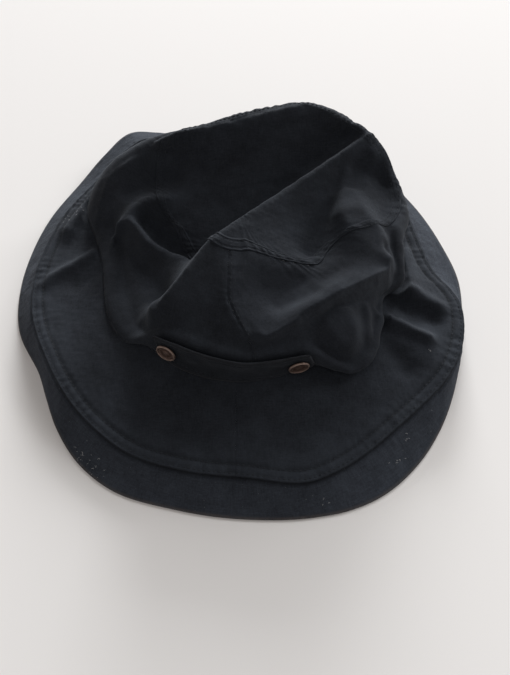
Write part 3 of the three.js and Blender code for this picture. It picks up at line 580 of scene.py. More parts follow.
def ring_round(centre, right, up, radius, sides):
    """Points on a circle."""
    turns = [2 * math.pi * k / sides for k in range(sides)]
    return [centre + radius * (math.cos(t) * right + math.sin(t) * up) for t in turns]


def tube_skin(base, rings, sides):
    """Faces between rings of vertices that start at base."""
    faces = []
    for ring in range(rings - 1):
        for k in range(sides):
            a = base + ring * sides + k
            b = base + ring * sides + (k + 1) % sides
            faces.append((a, a + sides, b + sides, b))
    return faces


def tube_faces(base, rings, sides):
    """A tube's skin and its two flat ends."""
    last = base + (rings - 1) * sides
    ends = [tuple(base + k for k in range(sides)), tuple(last + k for k in reversed(range(sides)))]
    return tube_skin(base, rings, sides) + ends


def declare(piece, slot, *nodes):
    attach(piece, "root")
    if nodes:
        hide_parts(*nodes)
    return piece


def cloth_panel(name, node, slot, grid, closed, material, **shares):
    """A grid of cloth that takes the place of a node."""
    faces = grid_faces(grid.shape[0], grid.shape[1], closed)
    piece = mesh_piece(name, grid, faces, material, **shares)
    declare(piece, slot, node)


# Stitches: each a short plump thread that dips into the cloth at both ends

STITCH_LENGTH = 2.5
STITCH_PITCH = 3.3
THREAD_RADIUS = 0.26
STITCH_SIDES = 6
STITCH_RINGS = 5
STITCH_RISE = 0.16
STITCH_DIP = 0.42
STITCH_TAPER = 0.9
STITCH_TIP = 0.12
SHORTEST_STITCH = 1.0


def stitched_line(points, normals, closed, start=0.0, pitch=STITCH_PITCH):
    """Middle, heading and normal of each stitch along a line of points."""
    line = np.vstack([points, points[:1]]) if closed else np.array(points)
    up = np.vstack([normals, normals[:1]]) if closed else np.array(normals)
    length = way_along(line, 0)
    if closed:
        pitch = length[-1] / round(length[-1] / pitch)
    at = np.arange(start + pitch / 2, length[-1] - pitch / 4, pitch)
    half = STITCH_LENGTH / 2
    heading = point_at(at + half, length, line) - point_at(at - half, length, line)
    return point_at(at, length, line), heading, point_at(at, length, up)


def stitch_rows(points, rows, closed):
    """Lines of stitches at some distances in from a grid's last ring."""
    normals = grid_normals(points, closed)
    inward = ring_lengths(points[:, ::-1])
    lines = []
    for row in rows:
        line = row_at(points[:, ::-1], inward, row)
        up = row_at(normals[:, ::-1], inward, row)
        lines.append(stitched_line(line, up, closed))
    return lines


def stitch_piece(name, lines, slot):
    """One mesh of all the stitches on the given lines."""
    vertices = []
    faces = []
    for middle, heading, normal in lines:
        for m, h, n in zip(middle, heading, normal):
            size = np.linalg.norm(h)
            if size < SHORTEST_STITCH:
                continue
            ahead = h / size
            n = n - ahead * np.dot(n, ahead)
            n = n / max(np.linalg.norm(n), 1e-9)
            side = np.cross(ahead, n)
            base = len(vertices)
            for s in np.linspace(-1, 1, STITCH_RINGS):
                plump = THREAD_RADIUS * math.sqrt(max(STITCH_TIP, 1 - STITCH_TAPER * s * s))
                centre = m + ahead * (s * size / 2) + n * (STITCH_RISE - STITCH_DIP * s * s)
                vertices += ring_round(centre, side, n, plump, STITCH_SIDES)
            faces += tube_faces(base, STITCH_RINGS, STITCH_SIDES)
    return declare(mesh_piece(name, vertices, faces, THREAD_MATERIAL), slot)


# Materials

LINT_COLOUR = (0.16, 0.165, 0.175)
# Painted shade: near black, mixed in by the hollow attribute in grooves, under rolled edges and under
# the brim's lap
PAINTED_SHADE_COLOUR = (0.004, 0.0044, 0.0055)
CLOTH_DARK = (0.0082, 0.0094, 0.0124)
CLOTH_LIGHT = (0.0206, 0.0240, 0.0306)
# Pale colour mixed in by the wear attribute: real wear on the tip's rolled seam, painted light on the
# brim towards its lap
CLOTH_WEAR_AND_PAINTED_LIGHT = (0.050, 0.058, 0.072)
CLOTH_WORN = (0.15, 0.125, 0.11)
WEAVE_THREAD = 0.00045

# Noise in the materials. Columns: scale, detail, roughness.
NOISES = {
    "blotch": (38.0, 4.0, 0.6), "fleck": (900.0, 2.0, 0.7), "slub": (1.0, 2.0, 0.6),
    "patch": (260.0, 3.0, 0.65), "speck": (620.0, 2.0, 0.5), "fuzz": (1400.0, 2.0, 0.6),
    "crumple": (300.0, 3.0, 0.6), "twist": (1500.0, 2.0, 0.6), "fibre": (1200.0, 2.0, 0.6),
    "tarnish": (420.0, 4.0, 0.65),
}
# Bumps in the materials. Columns: depth in metres, strength.
BUMPS = {
    "weave": (0.00012, 0.5), "fuzz": (0.00016, 0.55), "crumple": (0.0005, 0.35),
    "twist": (0.0001, 0.5), "tarnish": (0.0002, 0.35),
}


class Shading:
    """A material's nodes, with a short call for each kind that the hat uses."""

    def __init__(self, name):
        self.material = bpy.data.materials.new(name)
        self.material.use_nodes = True
        self.nodes = self.material.node_tree.nodes
        self.links = self.material.node_tree.links

    def feed(self, socket, value):
        """Links an output to a socket, or sets the socket to a number or a colour."""
        if isinstance(value, bpy.types.NodeSocket):
            self.links.new(value, socket)
        elif isinstance(value, tuple):
            socket.default_value = (*value, 1)
        else:
            socket.default_value = value

    def node(self, kind, inputs):
        made = self.nodes.new("ShaderNode" + kind)
        for label, value in inputs.items():
            self.feed(made.inputs[label], value)
        return made

    def place(self):
        return self.nodes.new("ShaderNodeTexCoord").outputs["Object"]

    def cloth_uv(self):
        made = self.nodes.new("ShaderNodeUVMap")
        made.uv_map = "cloth"
        return made.outputs["UV"]

    def attribute(self, name):
        made = self.nodes.new("ShaderNodeAttribute")
        made.attribute_name = name
        return made.outputs["Fac"]

    def noise(self, place, name):
        scale, detail, roughness = NOISES[name]
        inputs = {"Scale": scale, "Detail": detail, "Roughness": roughness, "Vector": place}
        return self.node("TexNoise", inputs).outputs["Fac"]

    def maths(self, operation, *values):
        made = self.node("Math", dict(enumerate(values)))
        made.operation = operation
        return made.outputs[0]

    def total(self, parts):
        """The sum of some values, each with its weight."""
        weighted = [self.maths("MULTIPLY", value, weight) for value, weight in parts]
        result = weighted[0]
        for part in weighted[1:]:
            result = self.maths("ADD", result, part)
        return result

    def ramp(self, value, start, end):
        """A straight change between two stops, each a position and a colour."""
        made = self.node("ValToRGB", {"Fac": value})
        for element, (position, colour) in zip(made.color_ramp.elements, (start, end)):
            element.position = position
            element.color = (*colour, 1)
        return made.outputs["Color"]

    def mix(self, factor, a, b):
        made = self.nodes.new("ShaderNodeMix")
        made.data_type = "RGBA"
        for socket, value in zip((made.inputs[0], made.inputs[6], made.inputs[7]), (factor, a, b)):
            self.feed(socket, value)
        return made.outputs[2]

    def bump(self, height, name, **under):
        distance, strength = BUMPS[name]
        inputs = {"Distance": distance, "Strength": strength, "Height": height, **under}
        return self.node("Bump", inputs).outputs["Normal"]

    def finished(self, inputs):
        """The material, with its shader's own sockets set or linked."""
        for label, value in inputs.items():
            self.feed(self.nodes["Principled BSDF"].inputs[label], value)
        return self.material


def weave_height(cloth, thread):
    """Plain weave of threads that go over and under by turns, from the cloth's own coordinates."""
    split = cloth.node("SeparateXYZ", {0: cloth.cloth_uv()})
    number = math.pi / thread
    warp, weft = [cloth.maths("SINE", cloth.maths("MULTIPLY", split.outputs[k], number)) for k in (0, 1)]
    return cloth.maths("MULTIPLY", warp, weft)


def slubs(cloth, along, across):
    """Uneven threads: long thin streaks of noise that run one way of the cloth."""
    stretch = cloth.node("Mapping", {"Vector": cloth.cloth_uv()})
    stretch.inputs["Scale"].default_value = (along, across, 1.0)
    return cloth.noise(stretch.outputs["Vector"], "slub")


def cloth_material(name, dark, light, worn, linty=False):
    """Matt woven cotton: mottled colour, weave, soft fuzz, rubbed edges, painted light, painted shade
    and specks of lint.
    """
    cloth = Shading(name)
    place = cloth.place()
    streak = cloth.maths("ADD", slubs(cloth, 150.0, 1500.0), slubs(cloth, 1500.0, 150.0))
    blotch = cloth.noise(place, "blotch")
    fleck = cloth.noise(place, "fleck")
    cloud = cloth.total([(blotch, 0.35), (fleck, 0.25), (streak, 0.2)])
    colour = cloth.ramp(cloud, (0.38, dark), (0.62, light))
    # The wear attribute mixes in rubbed edges and, on the brim, painted light; the hollow attribute
    # mixes in painted shade
    rubbed = cloth.maths("MULTIPLY", cloth.attribute("wear"), cloth.noise(place, "patch"))
    colour = cloth.mix(rubbed, colour, worn)
    colour = cloth.mix(cloth.attribute("hollow"), colour, PAINTED_SHADE_COLOUR)
    if linty:
        speck = cloth.ramp(cloth.noise(place, "speck"), (0.74, (0, 0, 0)), (0.78, (1, 1, 1)))
        colour = cloth.mix(speck, colour, LINT_COLOUR)
    weave = cloth.bump(weave_height(cloth, WEAVE_THREAD), "weave")
    fuzz = cloth.bump(cloth.noise(place, "fuzz"), "fuzz", Normal=weave)
    crumple = cloth.bump(cloth.noise(place, "crumple"), "crumple", Normal=fuzz)
    return cloth.finished({
        "Base Color": colour, "Roughness": 0.93, "Specular IOR Level": 0.16,
        "Sheen Weight": 0.06, "Sheen Roughness": 0.42, "Sheen Tint": (0.72, 0.78, 0.88),
        "Normal": crumple,
    })


def thread_material():
    thread = Shading("sewing_thread")
    twist = thread.noise(thread.place(), "twist")
    colour = thread.ramp(twist, (0.35, (0.013, 0.0145, 0.018)), (0.65, (0.026, 0.029, 0.035)))
    return thread.finished({
        "Base Color": colour, "Roughness": 0.8, "Specular IOR Level": 0.2,
        "Normal": thread.bump(twist, "twist"),
    })


def lint_material():
    fluff = Shading("lint")
    fibre = fluff.noise(fluff.place(), "fibre")
    colour = fluff.ramp(fibre, (0.35, (0.20, 0.20, 0.21)), (0.65, (0.42, 0.42, 0.43)))
    return fluff.finished({"Base Color": colour, "Roughness": 0.9})


def copper_material():
    """Antique copper: dark in the hollows, rubbed bright on the rim."""
    copper = Shading("antique_copper")
    tarnish = copper.noise(copper.place(), "tarnish")
    base = copper.ramp(tarnish, (0.3, (0.06, 0.036, 0.028)), (0.7, (0.17, 0.105, 0.082)))
    return copper.finished({
        "Base Color": copper.mix(copper.attribute("wear"), base, (0.40, 0.31, 0.27)),
        "Metallic": 0.9,
        "Roughness": copper.ramp(tarnish, (0.3, (0.62, 0.62, 0.62)), (0.7, (0.42, 0.42, 0.42))),
        "Normal": copper.bump(tarnish, "tarnish"),
    })


def table_material():
    return Shading("pale_table").finished({
        "Base Color": (0.80, 0.775, 0.76), "Roughness": 0.85, "Specular IOR Level": 0.05,
    })


def scaled_shades(share):
    """The two shades of the cloth, both lighter or darker by the same share."""
    return [tuple(share * c for c in shade) for shade in (CLOTH_DARK, CLOTH_LIGHT)]


# Each piece's two shades, scaled by a share: the band's about twice as light as the base, the strap's
# darker
CROWN_MATERIAL = cloth_material("crown_cotton", *scaled_shades(1.12), CLOTH_WEAR_AND_PAINTED_LIGHT)
BRIM_MATERIAL = cloth_material("brim_cotton", *scaled_shades(1.2), CLOTH_WEAR_AND_PAINTED_LIGHT)
BAND_MATERIAL = cloth_material("band_cotton", *scaled_shades(2.1), CLOTH_WORN, linty=True)
STRAP_MATERIAL = cloth_material("strap_cotton", *scaled_shades(0.8), CLOTH_WORN)
THREAD_MATERIAL = thread_material()
LINT_MATERIAL = lint_material()
COPPER_MATERIAL = copper_material()


# The crown's pieces

FELL_WIDTH = 7.2
FELL_HEIGHT = 0.7
FELL_EDGE = 1.6
STITCH_ROWS = (1.5, 6.4)
BRIM_STITCH_ROWS = (1.8, 7.6)
TIP_WEAR = 0.08

# Edges of cloth that are rolled under. Columns: how far out and how far up each ring goes.
TIP_ROLL = ((0.45, -0.35), (0.6, -0.9), (0.35, -1.4), (-0.6, -1.6))
BRIM_ROLL = ((0.4, -0.2), (0.6, -0.5), (0.5, -0.9), (-0.1, -1.2), (-3.0, -1.2))
HEM_ROLL = ((0.35, -0.25), (0.45, -0.6), (0.25, -0.95), (-0.6, -1.1), (-2.5, -1.1), (-8.0, 0.6))

# Grooves, low ridges, lines of wear, and lines of painted light and painted shade beside the
# seams. Columns: distance from the seam or edge, height in millimetres (a groove's is below
# zero) or share of wear, painted light or painted shade, and width.
LINES = {
    "tip stitches": [(STITCH_ROWS[0], -0.42, 0.75), (STITCH_ROWS[1], -0.42, 0.75)],
    "side top": [(0.0, -0.5, 0.8)],
    "side front": [(0.0, -0.4, 0.9), (3.2, 0.2, 2.0)],
    "side back": [(0.0, -0.5, 0.9)],
    "lap stitches": [(BRIM_STITCH_ROWS[0], -0.4, 1.0), (BRIM_STITCH_ROWS[1], -0.8, 1.6)],
    "brim seams": [(0.0, -0.22, 1.0), (3.0, 0.08, 1.8)],
    # Painted light: lightens the brim's cloth over 18 mm in from its lap
    "brim painted light": [(0.0, 0.3, 18.0)],
    "brim shade": [(BRIM_STITCH_ROWS[1], 0.42, 1.3), (0.0, 0.3, 0.8)],
    "band top": [(1.0, -0.7, 1.0)],
    "band hem": [(2.5, 0.25, 2.0)],
    "band wear": [(0.0, 0.6, 1.1)],
    "band shade": [(0.0, 0.7, 1.4)],
    "strap stitches": [(STRAP_STITCH_MARGIN, -0.32, 0.7)],
    "strap button": [(0.0, -0.5, 7.5)],
    "strap wear": [(0.0, 0.06, 1.0)],
}
# Gathers along the seams. Columns: wavelength, height, and how far they reach from the seam.
PUCKERS = {
    "tip seam": (7.5, 0.42, 7.0), "side top": (7.5, 0.36, 8.0), "side seams": (6.5, 0.24, 5.0),
    "side foot": (9.0, 0.3, 5.0), "brim lap": (8.5, 0.26, 7.0), "band top": (8.5, 0.26, 6.0),
}
# Unevenness of the cloth. Columns: height, wavelength.
UNEVENNESS = ((0.09, 13.0), (0.035, 4.5))
BRIM_UNEVENNESS = 1.3


def lines(name, across):
    return sum(height * bell(across - at, width) for at, height, width in LINES[name])


def puckers(name, seed, along, across):
    """Small gathers that stand square to a seam and fade away from it."""
    wavelength, height, reach = PUCKERS[name]
    phase = 2 * math.pi * along / wavelength + 2.2 * round_waves(seed, along, 5 * wavelength)
    strength = 0.65 + 0.35 * round_waves(seed + 1, along, 8 * wavelength)
    return height * strength * np.sin(phase) * np.exp(-np.abs(across) / reach)


def fell_profile(across):
    """The lapped seam's double cloth, from its edge at 0."""
    return FELL_HEIGHT * (1 - smooth_step(FELL_WIDTH, FELL_WIDTH + FELL_EDGE, across))


def cloth_unevenness(points, seed):
    x, y = points[..., 0], points[..., 1] + 0.6 * points[..., 2]
    return sum(height * waves(seed + k, x, y, long) for k, (height, long) in enumerate(UNEVENNESS))


def crown_tip():
    """The tip panel, whose felled seam edge is rolled under."""
    points = tip_grid()
    normals = grid_normals(points, True)
    inward = ring_lengths(points[:, ::-1])[:, ::-1]
    along = way_along(points[:, -1], 0)[:, None]
    away = np.minimum(along, along[-1] - along)
    lift = fell_profile(inward) + lines("tip stitches", inward)
    lift = lift + puckers("tip seam", 11, along, inward - 3) * smooth_step(0, 12, away)
    lift = lift + cloth_unevenness(points, 21)
    points = points + normals * lift[..., None]
    full = with_rolled_edge(points, normals, 3, TIP_ROLL)
    pole = plan_point(np.zeros(1), np.zeros(1))
    rings = full.shape[1]
    vertices = np.concatenate([full.reshape(-1, 3), pole])
    faces = [tuple(f) for f in grid_faces(COLUMNS, rings, True)]
    faces += [(len(vertices) - 1, i * rings, (i + 1) % COLUMNS * rings) for i in range(COLUMNS)]
    wear = np.zeros((COLUMNS, rings))
    wear[:, TIP_RINGS - 2:TIP_RINGS + 2] = TIP_WEAR
    wear = np.append(wear.ravel(), 0)
    piece = mesh_piece("tip_cloth", vertices, faces, CROWN_MATERIAL, uv=vertices[:, :2], wear=wear)
    declare(piece, "crown_cloth", "crown_top")
    rows = stitch_rows(points, STITCH_ROWS, True)
    stitch_piece("tip_stitches", rows, "crown_cloth")


# The side band's seam allowance, turned into the head opening. Columns: how far in, how deep.
FOOT_TUCK = ((0.4, 0.8), (1.8, 3.0))
# The width along the crown's foot over which small unevenness fades out.
FOOT_FADE = 9.0


def side_half(name, node, first, last, seed):
    """Half of the side band, with its puckered seams and a foot tucked into the opening."""
    points = side_grid(first, last)
    normals = grid_normals(points, False)
    down = ring_lengths(points)
    along = way_along(points[:, 0], 0)[:, None]
    round_way = way_along(points, 0)
    seams = [round_way, round_way[-1:] - round_way]
    from_front, from_back = seams if first == 0.0 else seams[::-1]
    lift = puckers("side top", seed, along, down) * smooth_step(0, 6, from_front)
    lift = lift + lines("side top", down)
    lift = lift + lines("side front", from_front) + lines("side back", from_back)
    lift = lift + puckers("side seams", seed + 5, down, from_front)
    lift = lift + puckers("side foot", seed + 7, along, down - down[:, -1:])
    lift = lift + cloth_unevenness(points, seed + 9)
    lift = lift * smooth_step(0, FOOT_FADE, down[:, -1:] - down)
    points = points + normals * lift[..., None]
    foot = points[:, -1:]
    tuck = [foot - outward_of(foot) * inward - UP * depth for inward, depth in FOOT_TUCK]
    full = np.concatenate([points, *tuck], axis=1)
    down = ring_lengths(full)
    uv = np.stack([round_way.mean(axis=1)[:, None] * np.ones_like(down), down], -1)
    cloth_panel(name, node, "crown_cloth", full, False, CROWN_MATERIAL, uv=uv)
    return points


FRONT_STITCH_AWAY = 2.2


def front_seam_stitches(points):
    """A row of stitches beside the front seam, on the half to its left as worn."""
    way = way_along(points, 0).T
    line = row_at(points.transpose(1, 0, 2), way, FRONT_STITCH_AWAY)
    up = row_at(grid_normals(points, False).transpose(1, 0, 2), way, FRONT_STITCH_AWAY)
    stitch_piece("front_seam_stitches", [stitched_line(line, up, False, 2.0)], "crown_cloth")


# The brim's pieces

# The band's edge that is tucked under the brim: how far in and how deep its rings lie.
LAP_TUCK = ((9.0, 3.0), (5.0, 2.8), (2.0, 2.5))
# Mean radii that turn an angle into a way along the brim and the band.
BRIM_MEAN_RADIUS = 150.0
BAND_MEAN_RADIUS = 165.0
LAP_CLOTH = 0.3
# Share of painted shade over the brim's whole rolled edge
BRIM_ROLL_SHADE = 0.35
HEM_WEAR = 0.6
HEM_LIFT = 1.1
BAND_TOP_RISE = 0.9
BAND_TOP_FADE = 9.0
# Share of painted shade on the band's edge tucked under the brim's lap
TUCK_SHADE = 0.6


def brim_half(name, node, first, last, seed):
    """Half of the inner brim, with its stitched and rolled outer edge."""
    turn, share = column_grid(np.linspace(first, last, BRIM_COLUMNS // 2 + 1), BRIM_RINGS)
    points = brim_point(turn, share)
    normals = grid_normals(points, False)
    inward = ring_lengths(points[:, ::-1])[:, ::-1]
    along = way_along(points[:, BRIM_RINGS], 0)[:, None]
    round_way = np.radians(turn - first) * BRIM_MEAN_RADIUS
    from_ends = np.minimum(round_way, round_way[-1:] - round_way)
    lift = lines("lap stitches", inward) + LAP_CLOTH * (1 - smooth_step(7.6, 9.4, inward))
    lift = lift + puckers("brim lap", seed, along, inward - 4) + lines("brim seams", from_ends)
    lift = lift + cloth_unevenness(points, seed + 3) * BRIM_UNEVENNESS
    lift = lift * smooth_step(0, FOOT_FADE, ring_lengths(points))
    points = points + normals * lift[..., None]
    full = with_rolled_edge(points, normals, 4, BRIM_ROLL)
    # Painted light: the wear attribute here lightens the brim towards its lap, clear of the crown's
    # shade
    wear = np.zeros(full.shape[:2])
    wear[:, :BRIM_RINGS + 1] = lines("brim painted light", inward)
    # Painted shade: the hollow attribute darkens the rolled edge, the outer stitch groove and the lap's
    # edge
    hollow = np.full(full.shape[:2], BRIM_ROLL_SHADE)
    hollow[:, :BRIM_RINGS + 1] = lines("brim shade", inward)
    cloth_panel(name, node, "brim_cloth", full, False, BRIM_MATERIAL,
                uv=full[..., :2], wear=wear, hollow=hollow)
    return stitch_rows(points, BRIM_STITCH_ROWS, False)


def hem_roll(points):
    """Rings that carry the band round its hem, flat where it lies on the table."""
    hem = points[:, -1]
    return [hem + outward_of(hem) * a + UP * b for a, b in HEM_ROLL]


def outer_band():
    """The outer band, from its edge under the brim's lap to its rolled hem."""
    turns = np.linspace(BRIM_SEAM_TURN, BRIM_SEAM_TURN + 360, BRIM_COLUMNS, endpoint=False)
    turn, share = column_grid(turns, BAND_RINGS)
    points = band_point(turn, share)
    points[..., 2] += HEM_LIFT * share ** 2
    normals = grid_normals(points, True)
    down = ring_lengths(points)
    to_hem = down[:, -1:] - down
    along = np.radians(turn) * BAND_MEAN_RADIUS
    lift = puckers("band top", 71, along, down) + lines("band hem", to_hem)
    lift = lift + BAND_TOP_RISE * np.exp(-down / BAND_TOP_FADE) + lines("band top", down)
    lift = lift + cloth_unevenness(points, 75) * BRIM_UNEVENNESS * smooth_step(0, 3, to_hem)
    points = points + normals * lift[..., None]
    reach = round_table(BRIM, LAP_RADIUS, turn[:, :1]) - opening_radius(turn[:, :1])
    tuck = [brim_point(turn[:, :1], 1 - inward / reach) for inward, _ in LAP_TUCK]
    for ring, (_, depth) in zip(tuck, LAP_TUCK):
        ring[..., 2] -= depth
    full = np.concatenate([*tuck, points, np.stack(hem_roll(points), 1)], axis=1)
    full[..., 2] = np.maximum(full[..., 2], 0.0)
    wear = np.zeros(full.shape[:2])
    first = len(LAP_TUCK)
    last = first + BAND_RINGS + 1
    wear[:, first:last] = lines("band wear", to_hem)
    wear[:, last:last + 3] = HEM_WEAR
    # Painted shade: the hollow attribute darkens the band's top just under the lap and its edge tucked
    # beneath it
    hollow = np.zeros(full.shape[:2])
    hollow[:, first:last] = lines("band shade", down)
    hollow[:, :first] = TUCK_SHADE
    outward = np.linalg.norm(full[..., :2], axis=-1)
    uv = np.stack([np.repeat(along[:, :1], full.shape[1], axis=1), outward], -1)
    cloth_panel("band_cloth", "brim_band", "band_cloth", full, True, BAND_MATERIAL,
                uv=uv, wear=wear, hollow=hollow)


# Lint on the brim. Columns: turn, radius, spread and number of fibres.
LINT_TUFTS = [
    (247, 144, 4, 5), (246, 136, 3, 4), (321.6, 170.8, 5, 12), (325, 173, 6, 14), (59.6, 148.7, 2, 4),
    (34.5, 175, 3, 6), (38.5, 169.2, 2, 5), (16.2, 177, 2, 3), (180, 165, 5, 5),
]
LINT_STEPS = 7
LINT_SIDES = 5
LINT_HEIGHT = 0.9
LINT_ARCH = 0.25
DEGREES_A_RADIAN = 57.3


def brim_spot(turn, radius):
    """A point of the inner brim or the band, by its turn and its distance from the axis."""
    lap = round_table(BRIM, LAP_RADIUS, turn)
    opening = opening_radius(turn)
    if radius > lap[0]:
        share = (radius - lap) / (round_table(BRIM, HEM_RADIUS, turn) - lap)
        return band_point(turn, np.minimum(0.95, share))[0]
    return brim_point(turn, (radius - opening) / (lap - opening))[0]


def lint():
    """Short curled fibres that have caught on the band and the brim's rear."""
    rng = np.random.default_rng(17)
    vertices = []
    faces = []
    for turn, radius, spread, count in LINT_TUFTS:
        for _ in range(count):
            around = np.array([turn + rng.normal(0, spread) / radius * DEGREES_A_RADIAN])
            spot = brim_spot(around, radius + rng.normal(0, spread * 0.6))
            heading = rng.uniform(0, 2 * math.pi)
            curl = rng.uniform(-1.6, 1.6)
            long = rng.uniform(0.6, 1.9)
            thick = rng.uniform(0.07, 0.15)
            base = len(vertices)
            for step in range(LINT_STEPS):
                t = step / (LINT_STEPS - 1)
                angle = heading + curl * t
                ahead = np.array([math.cos(angle), math.sin(angle), 0.0])
                side = np.array([-math.sin(angle), math.cos(angle), 0.0])
                height = LINT_HEIGHT + LINT_ARCH * math.sin(math.pi * t)
                centre = spot + ahead * (long * (t - 0.5)) + UP * height
                vertices += ring_round(centre, side, UP, thick, LINT_SIDES)
            faces += tube_faces(base, LINT_STEPS, LINT_SIDES)
    declare(mesh_piece("lint", vertices, faces, LINT_MATERIAL), "band_cloth")


# The strap and its buttons

def wall_radius(turn, height):
    """How far out the side band's wall lies at a height, by halving."""
    low = np.zeros_like(turn)
    high = np.ones_like(turn)
    for _ in range(20):
        middle = (low + high) / 2
        under = crown_wall_point(turn, middle)[..., 2] < height
        low = np.where(under, middle, low)
        high = np.where(under, high, middle)
    point = crown_wall_point(turn, high)
    return np.hypot(point[..., 0], point[..., 1])


def strap_point(across, up, outward):
    """A point of the strap, by its shares along and up it and its distance out."""
    end = STRAP_END_TURN - STRAP_END_SLANT * np.maximum(0, up - 0.4)
    turn = STRAP_START_TURN + (end - STRAP_START_TURN) * across
    height = STRAP_BOTTOM + STRAP_WIDTH * up
    radius = wall_radius(turn, height) + 2 * GAP + STRAP_TOP_STAND * up ** 2 + outward
    return round_point(turn, radius, height)


def button_place(side):
    """A button's shares along and up the strap."""
    along = (BUTTON_TURNS[side] - STRAP_START_TURN) / (STRAP_END_TURN - STRAP_START_TURN)
    return along, (BUTTON_HEIGHT - STRAP_BOTTOM) / STRAP_WIDTH


def strap_cloth():
    """A folded and topstitched strap: a face with soft edges, carried round to its back."""
    columns, rows = STRAP_STEPS
    across, up = column_grid(np.linspace(0, 1, columns), rows - 1)
    face = strap_point(across, up, STRAP_CLOTH)
    back = strap_point(across, up, STRAP_BACK_STAND)
    normals = grid_normals(face, False)
    if normals[..., 1].mean() > 0:
        normals = -normals
    width = STRAP_WIDTH
    length = STRAP_LENGTH
    to_edge = np.minimum(np.minimum(up, 1 - up) * width, np.minimum(across, 1 - across) * length)
    lift = -STRAP_EDGE_DROP * (1 - np.sqrt(np.clip(to_edge / STRAP_EDGE_WIDTH, 0, 1)))
    lift = lift + lines("strap stitches", to_edge)
    for side in BUTTON_TURNS:
        at, height = button_place(side)
        lift = lift + lines("strap button", np.hypot((across - at) * length, (up - height) * width))
    lift = lift + 0.22 * waves(91, across * length, up * width * 1.6, 16.0)
    face = face + normals * lift[..., None]
    vertices = np.concatenate([face.reshape(-1, 3), back.reshape(-1, 3)])
    quads = [tuple(f) for f in grid_faces(columns, rows, False)]
    offset = columns * rows
    quads += [tuple(offset + k for k in reversed(f)) for f in quads]
    rim = [(i, 0) for i in range(columns)]
    rim += [(columns - 1, j) for j in range(1, rows)]
    rim += [(i, rows - 1) for i in range(columns - 2, -1, -1)]
    rim += [(0, j) for j in range(rows - 2, 0, -1)]
    for (i, j), (k, m) in zip(rim, rim[1:] + rim[:1]):
        a, b = i * rows + j, k * rows + m
        quads.append((a, b, b + offset, a + offset))
    quads = [q[::-1] for q in quads]
    uv = np.tile(np.stack([across * length, up * width], -1).reshape(-1, 2), (2, 1))
    wear = np.append(lines("strap wear", to_edge).ravel(), np.zeros(offset))
    piece = mesh_piece("strap_cloth", vertices, quads, STRAP_MATERIAL, uv=uv, wear=wear)
    declare(piece, "strap_cloth", "strap")
    low, near = STRAP_STITCH_MARGIN / width, STRAP_STITCH_MARGIN / length
    corners = [(near, low), (1 - near, low), (1 - near, 1 - low), (near, 1 - low), (near, low)]
    path = []
    for (a, b), (c, d), steps in zip(corners, corners[1:], (120, 24, 120, 24)):
        path += zip(np.linspace(a, c, steps)[:-1], np.linspace(b, d, steps)[:-1])
    i = np.array([round(a * (columns - 1)) for a, _ in path])
    j = np.array([round(b * (rows - 1)) for _, b in path])
    line = stitched_line(face[i, j], normals[i, j], True)
    stitch_piece("strap_stitches", [line], "strap_cloth")


# A tack button's cap. Columns: share of the radius, height, rubbed brightness.
BUTTON_PROFILE = [
    (0.0, 1.55, 0.25), (0.18, 1.5, 0.2), (0.3, 1.32, 0.1), (0.42, 1.2, 0.0), (0.56, 1.22, 0.05),
    (0.66, 1.4, 0.3), (0.72, 1.3, 0.05), (0.76, 1.35, 0.0), (0.82, 1.75, 0.3), (0.88, 2.0, 0.6),
    (0.94, 1.9, 0.6), (0.985, 1.5, 0.4), (1.0, 1.05, 0.2), (0.98, 0.6, 0.1), (0.9, 0.3, 0.0),
    (0.6, 0.15, 0.0), (0.45, -0.5, 0.0),
]
BUTTON_SIDES = 72


def tack_button(side):
    """A button's cap, seated square to the strap and clear of its highest point under the rim."""
    across, up = np.array(button_place(side))[:, None]
    wide = BUTTON_RADIUS / STRAP_LENGTH
    tall = BUTTON_RADIUS / STRAP_WIDTH

    def face(along_share, up_share):
        return strap_point(across + wide * along_share, up + tall * up_share, STRAP_CLOTH)[0]

    along = face(1, 0) - face(-1, 0)
    outward = unit(np.cross(along, face(0, 1) - face(0, -1)))
    along = unit(along)
    rise = np.cross(outward, along)
    centre = face(0, 0)
    angles = [2 * math.pi * k / BUTTON_SIDES for k in range(BUTTON_SIDES)]
    highest = max(float((face(math.cos(a), math.sin(a)) - centre) @ outward) for a in angles)
    centre = centre + outward * (max(0.0, highest) + GAP * 0.5)
    vertices = [centre + outward * BUTTON_PROFILE[0][1]]
    wear = [BUTTON_PROFILE[0][2]]
    for share, height, bright in BUTTON_PROFILE[1:]:
        middle = centre + outward * height
        vertices += ring_round(middle, along, rise, share * BUTTON_RADIUS, BUTTON_SIDES)
        wear += [bright] * BUTTON_SIDES
    faces = [(0, 1 + k, 1 + (k + 1) % BUTTON_SIDES) for k in range(BUTTON_SIDES)]
    faces += tube_skin(1, len(BUTTON_PROFILE) - 1, BUTTON_SIDES)
    piece = mesh_piece(f"button_{side}_copper", vertices, faces, COPPER_MATERIAL, wear=wear)
    declare(piece, "button_metal", f"button_{side}")


# The table, the light and the camera

CAMERA_PLACE = (0.0, -315.78, 431.10)
CAMERA_DOWN = 57.858
CAMERA_RIGHT = 2.048
FOCAL_PIXELS = 700.0
IMAGE_HEIGHT = 675
SENSOR_WIDTH = 36
TABLE_HALF = 3.0
TABLE_DROP = 0.0002
WORLD_COLOUR = (1.0, 0.945, 0.905, 1)
WORLD_STRENGTH = 0.28
DAYLIGHT = (0.96, 0.985, 1.0)

# Lamps that look at the hat. Columns: name, place in metres, size, power, colour.
LAMPS = [
    ("rear window", (1.3, 4.1, 2.7), 1.8, 110, DAYLIGHT),
    ("low window", (0.6, 4.8, 1.3), 1.6, 330, DAYLIGHT),
    ("side window", (3.82, 2.21, 2.35), 1.8, 85, DAYLIGHT),
    ("ceiling", (0, -2.35, 4.41), 2.2, 26, (1, 1, 1)),
]


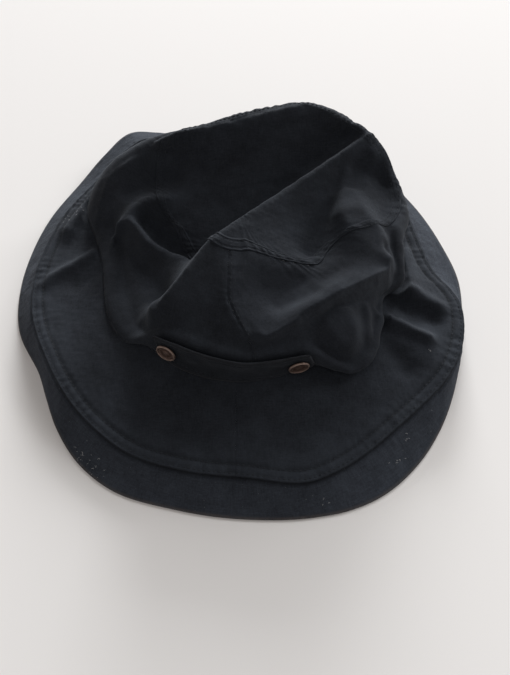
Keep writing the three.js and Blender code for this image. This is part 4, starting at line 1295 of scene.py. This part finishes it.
def point_along(seen, heading):
    seen.rotation_euler = heading.to_track_quat("-Z", "Y").to_euler()


def table():
    mesh = bpy.data.meshes.new("table")
    corners = [(TABLE_HALF * x, TABLE_HALF * y, 0) for x, y in ((-1, -1), (1, -1), (1, 1), (-1, 1))]
    mesh.from_pydata(corners, [], [(0, 1, 2, 3)])
    mesh.materials.append(table_material())
    piece = shown("table", mesh)
    piece.location.z = -TABLE_DROP


def lighting():
    world = bpy.data.worlds.new("studio")
    bpy.context.scene.world = world
    world.use_nodes = True
    sky = world.node_tree.nodes["Background"]
    sky.inputs["Color"].default_value = WORLD_COLOUR
    sky.inputs["Strength"].default_value = WORLD_STRENGTH
    for name, place, size, power, colour in LAMPS:
        light = bpy.data.lights.new(name, "AREA")
        light.size = size
        light.energy = power
        light.color = colour
        lamp = shown(name, light)
        lamp.location = place
        point_along(lamp, -Vector(place))


def camera():
    data = bpy.data.cameras.new("camera")
    data.sensor_fit = "AUTO"
    data.sensor_width = SENSOR_WIDTH
    data.lens = FOCAL_PIXELS * SENSOR_WIDTH / IMAGE_HEIGHT
    data.clip_start = 0.01
    seen = shown("camera", data)
    seen.location = placed([CAMERA_PLACE])[0]
    down = math.radians(CAMERA_DOWN)
    right = math.radians(CAMERA_RIGHT)
    ahead = (math.sin(right) * math.cos(down), math.cos(right) * math.cos(down), -math.sin(down))
    point_along(seen, Vector(ahead))
    bpy.context.scene.camera = seen
    bpy.context.scene.view_settings.view_transform = "Standard"


camera()
lighting()
table()
crown_tip()
right_points = side_half("side_right_cloth", "crown_side_right", 0.0, 0.5, 31)
side_half("side_left_cloth", "crown_side_left", 0.5, 1.0, 51)
front_seam_stitches(right_points)
lap_rows = brim_half("brim_right_cloth", "brim_right", BRIM_SEAM_TURN, 180 + BRIM_SEAM_TURN, 61)
lap_rows += brim_half("brim_left_cloth", "brim_left", 180 + BRIM_SEAM_TURN, 360 + BRIM_SEAM_TURN, 65)
stitch_piece("lap_stitches", lap_rows, "brim_cloth")
outer_band()
lint()
strap_cloth()
tack_button("left")
tack_button("right")
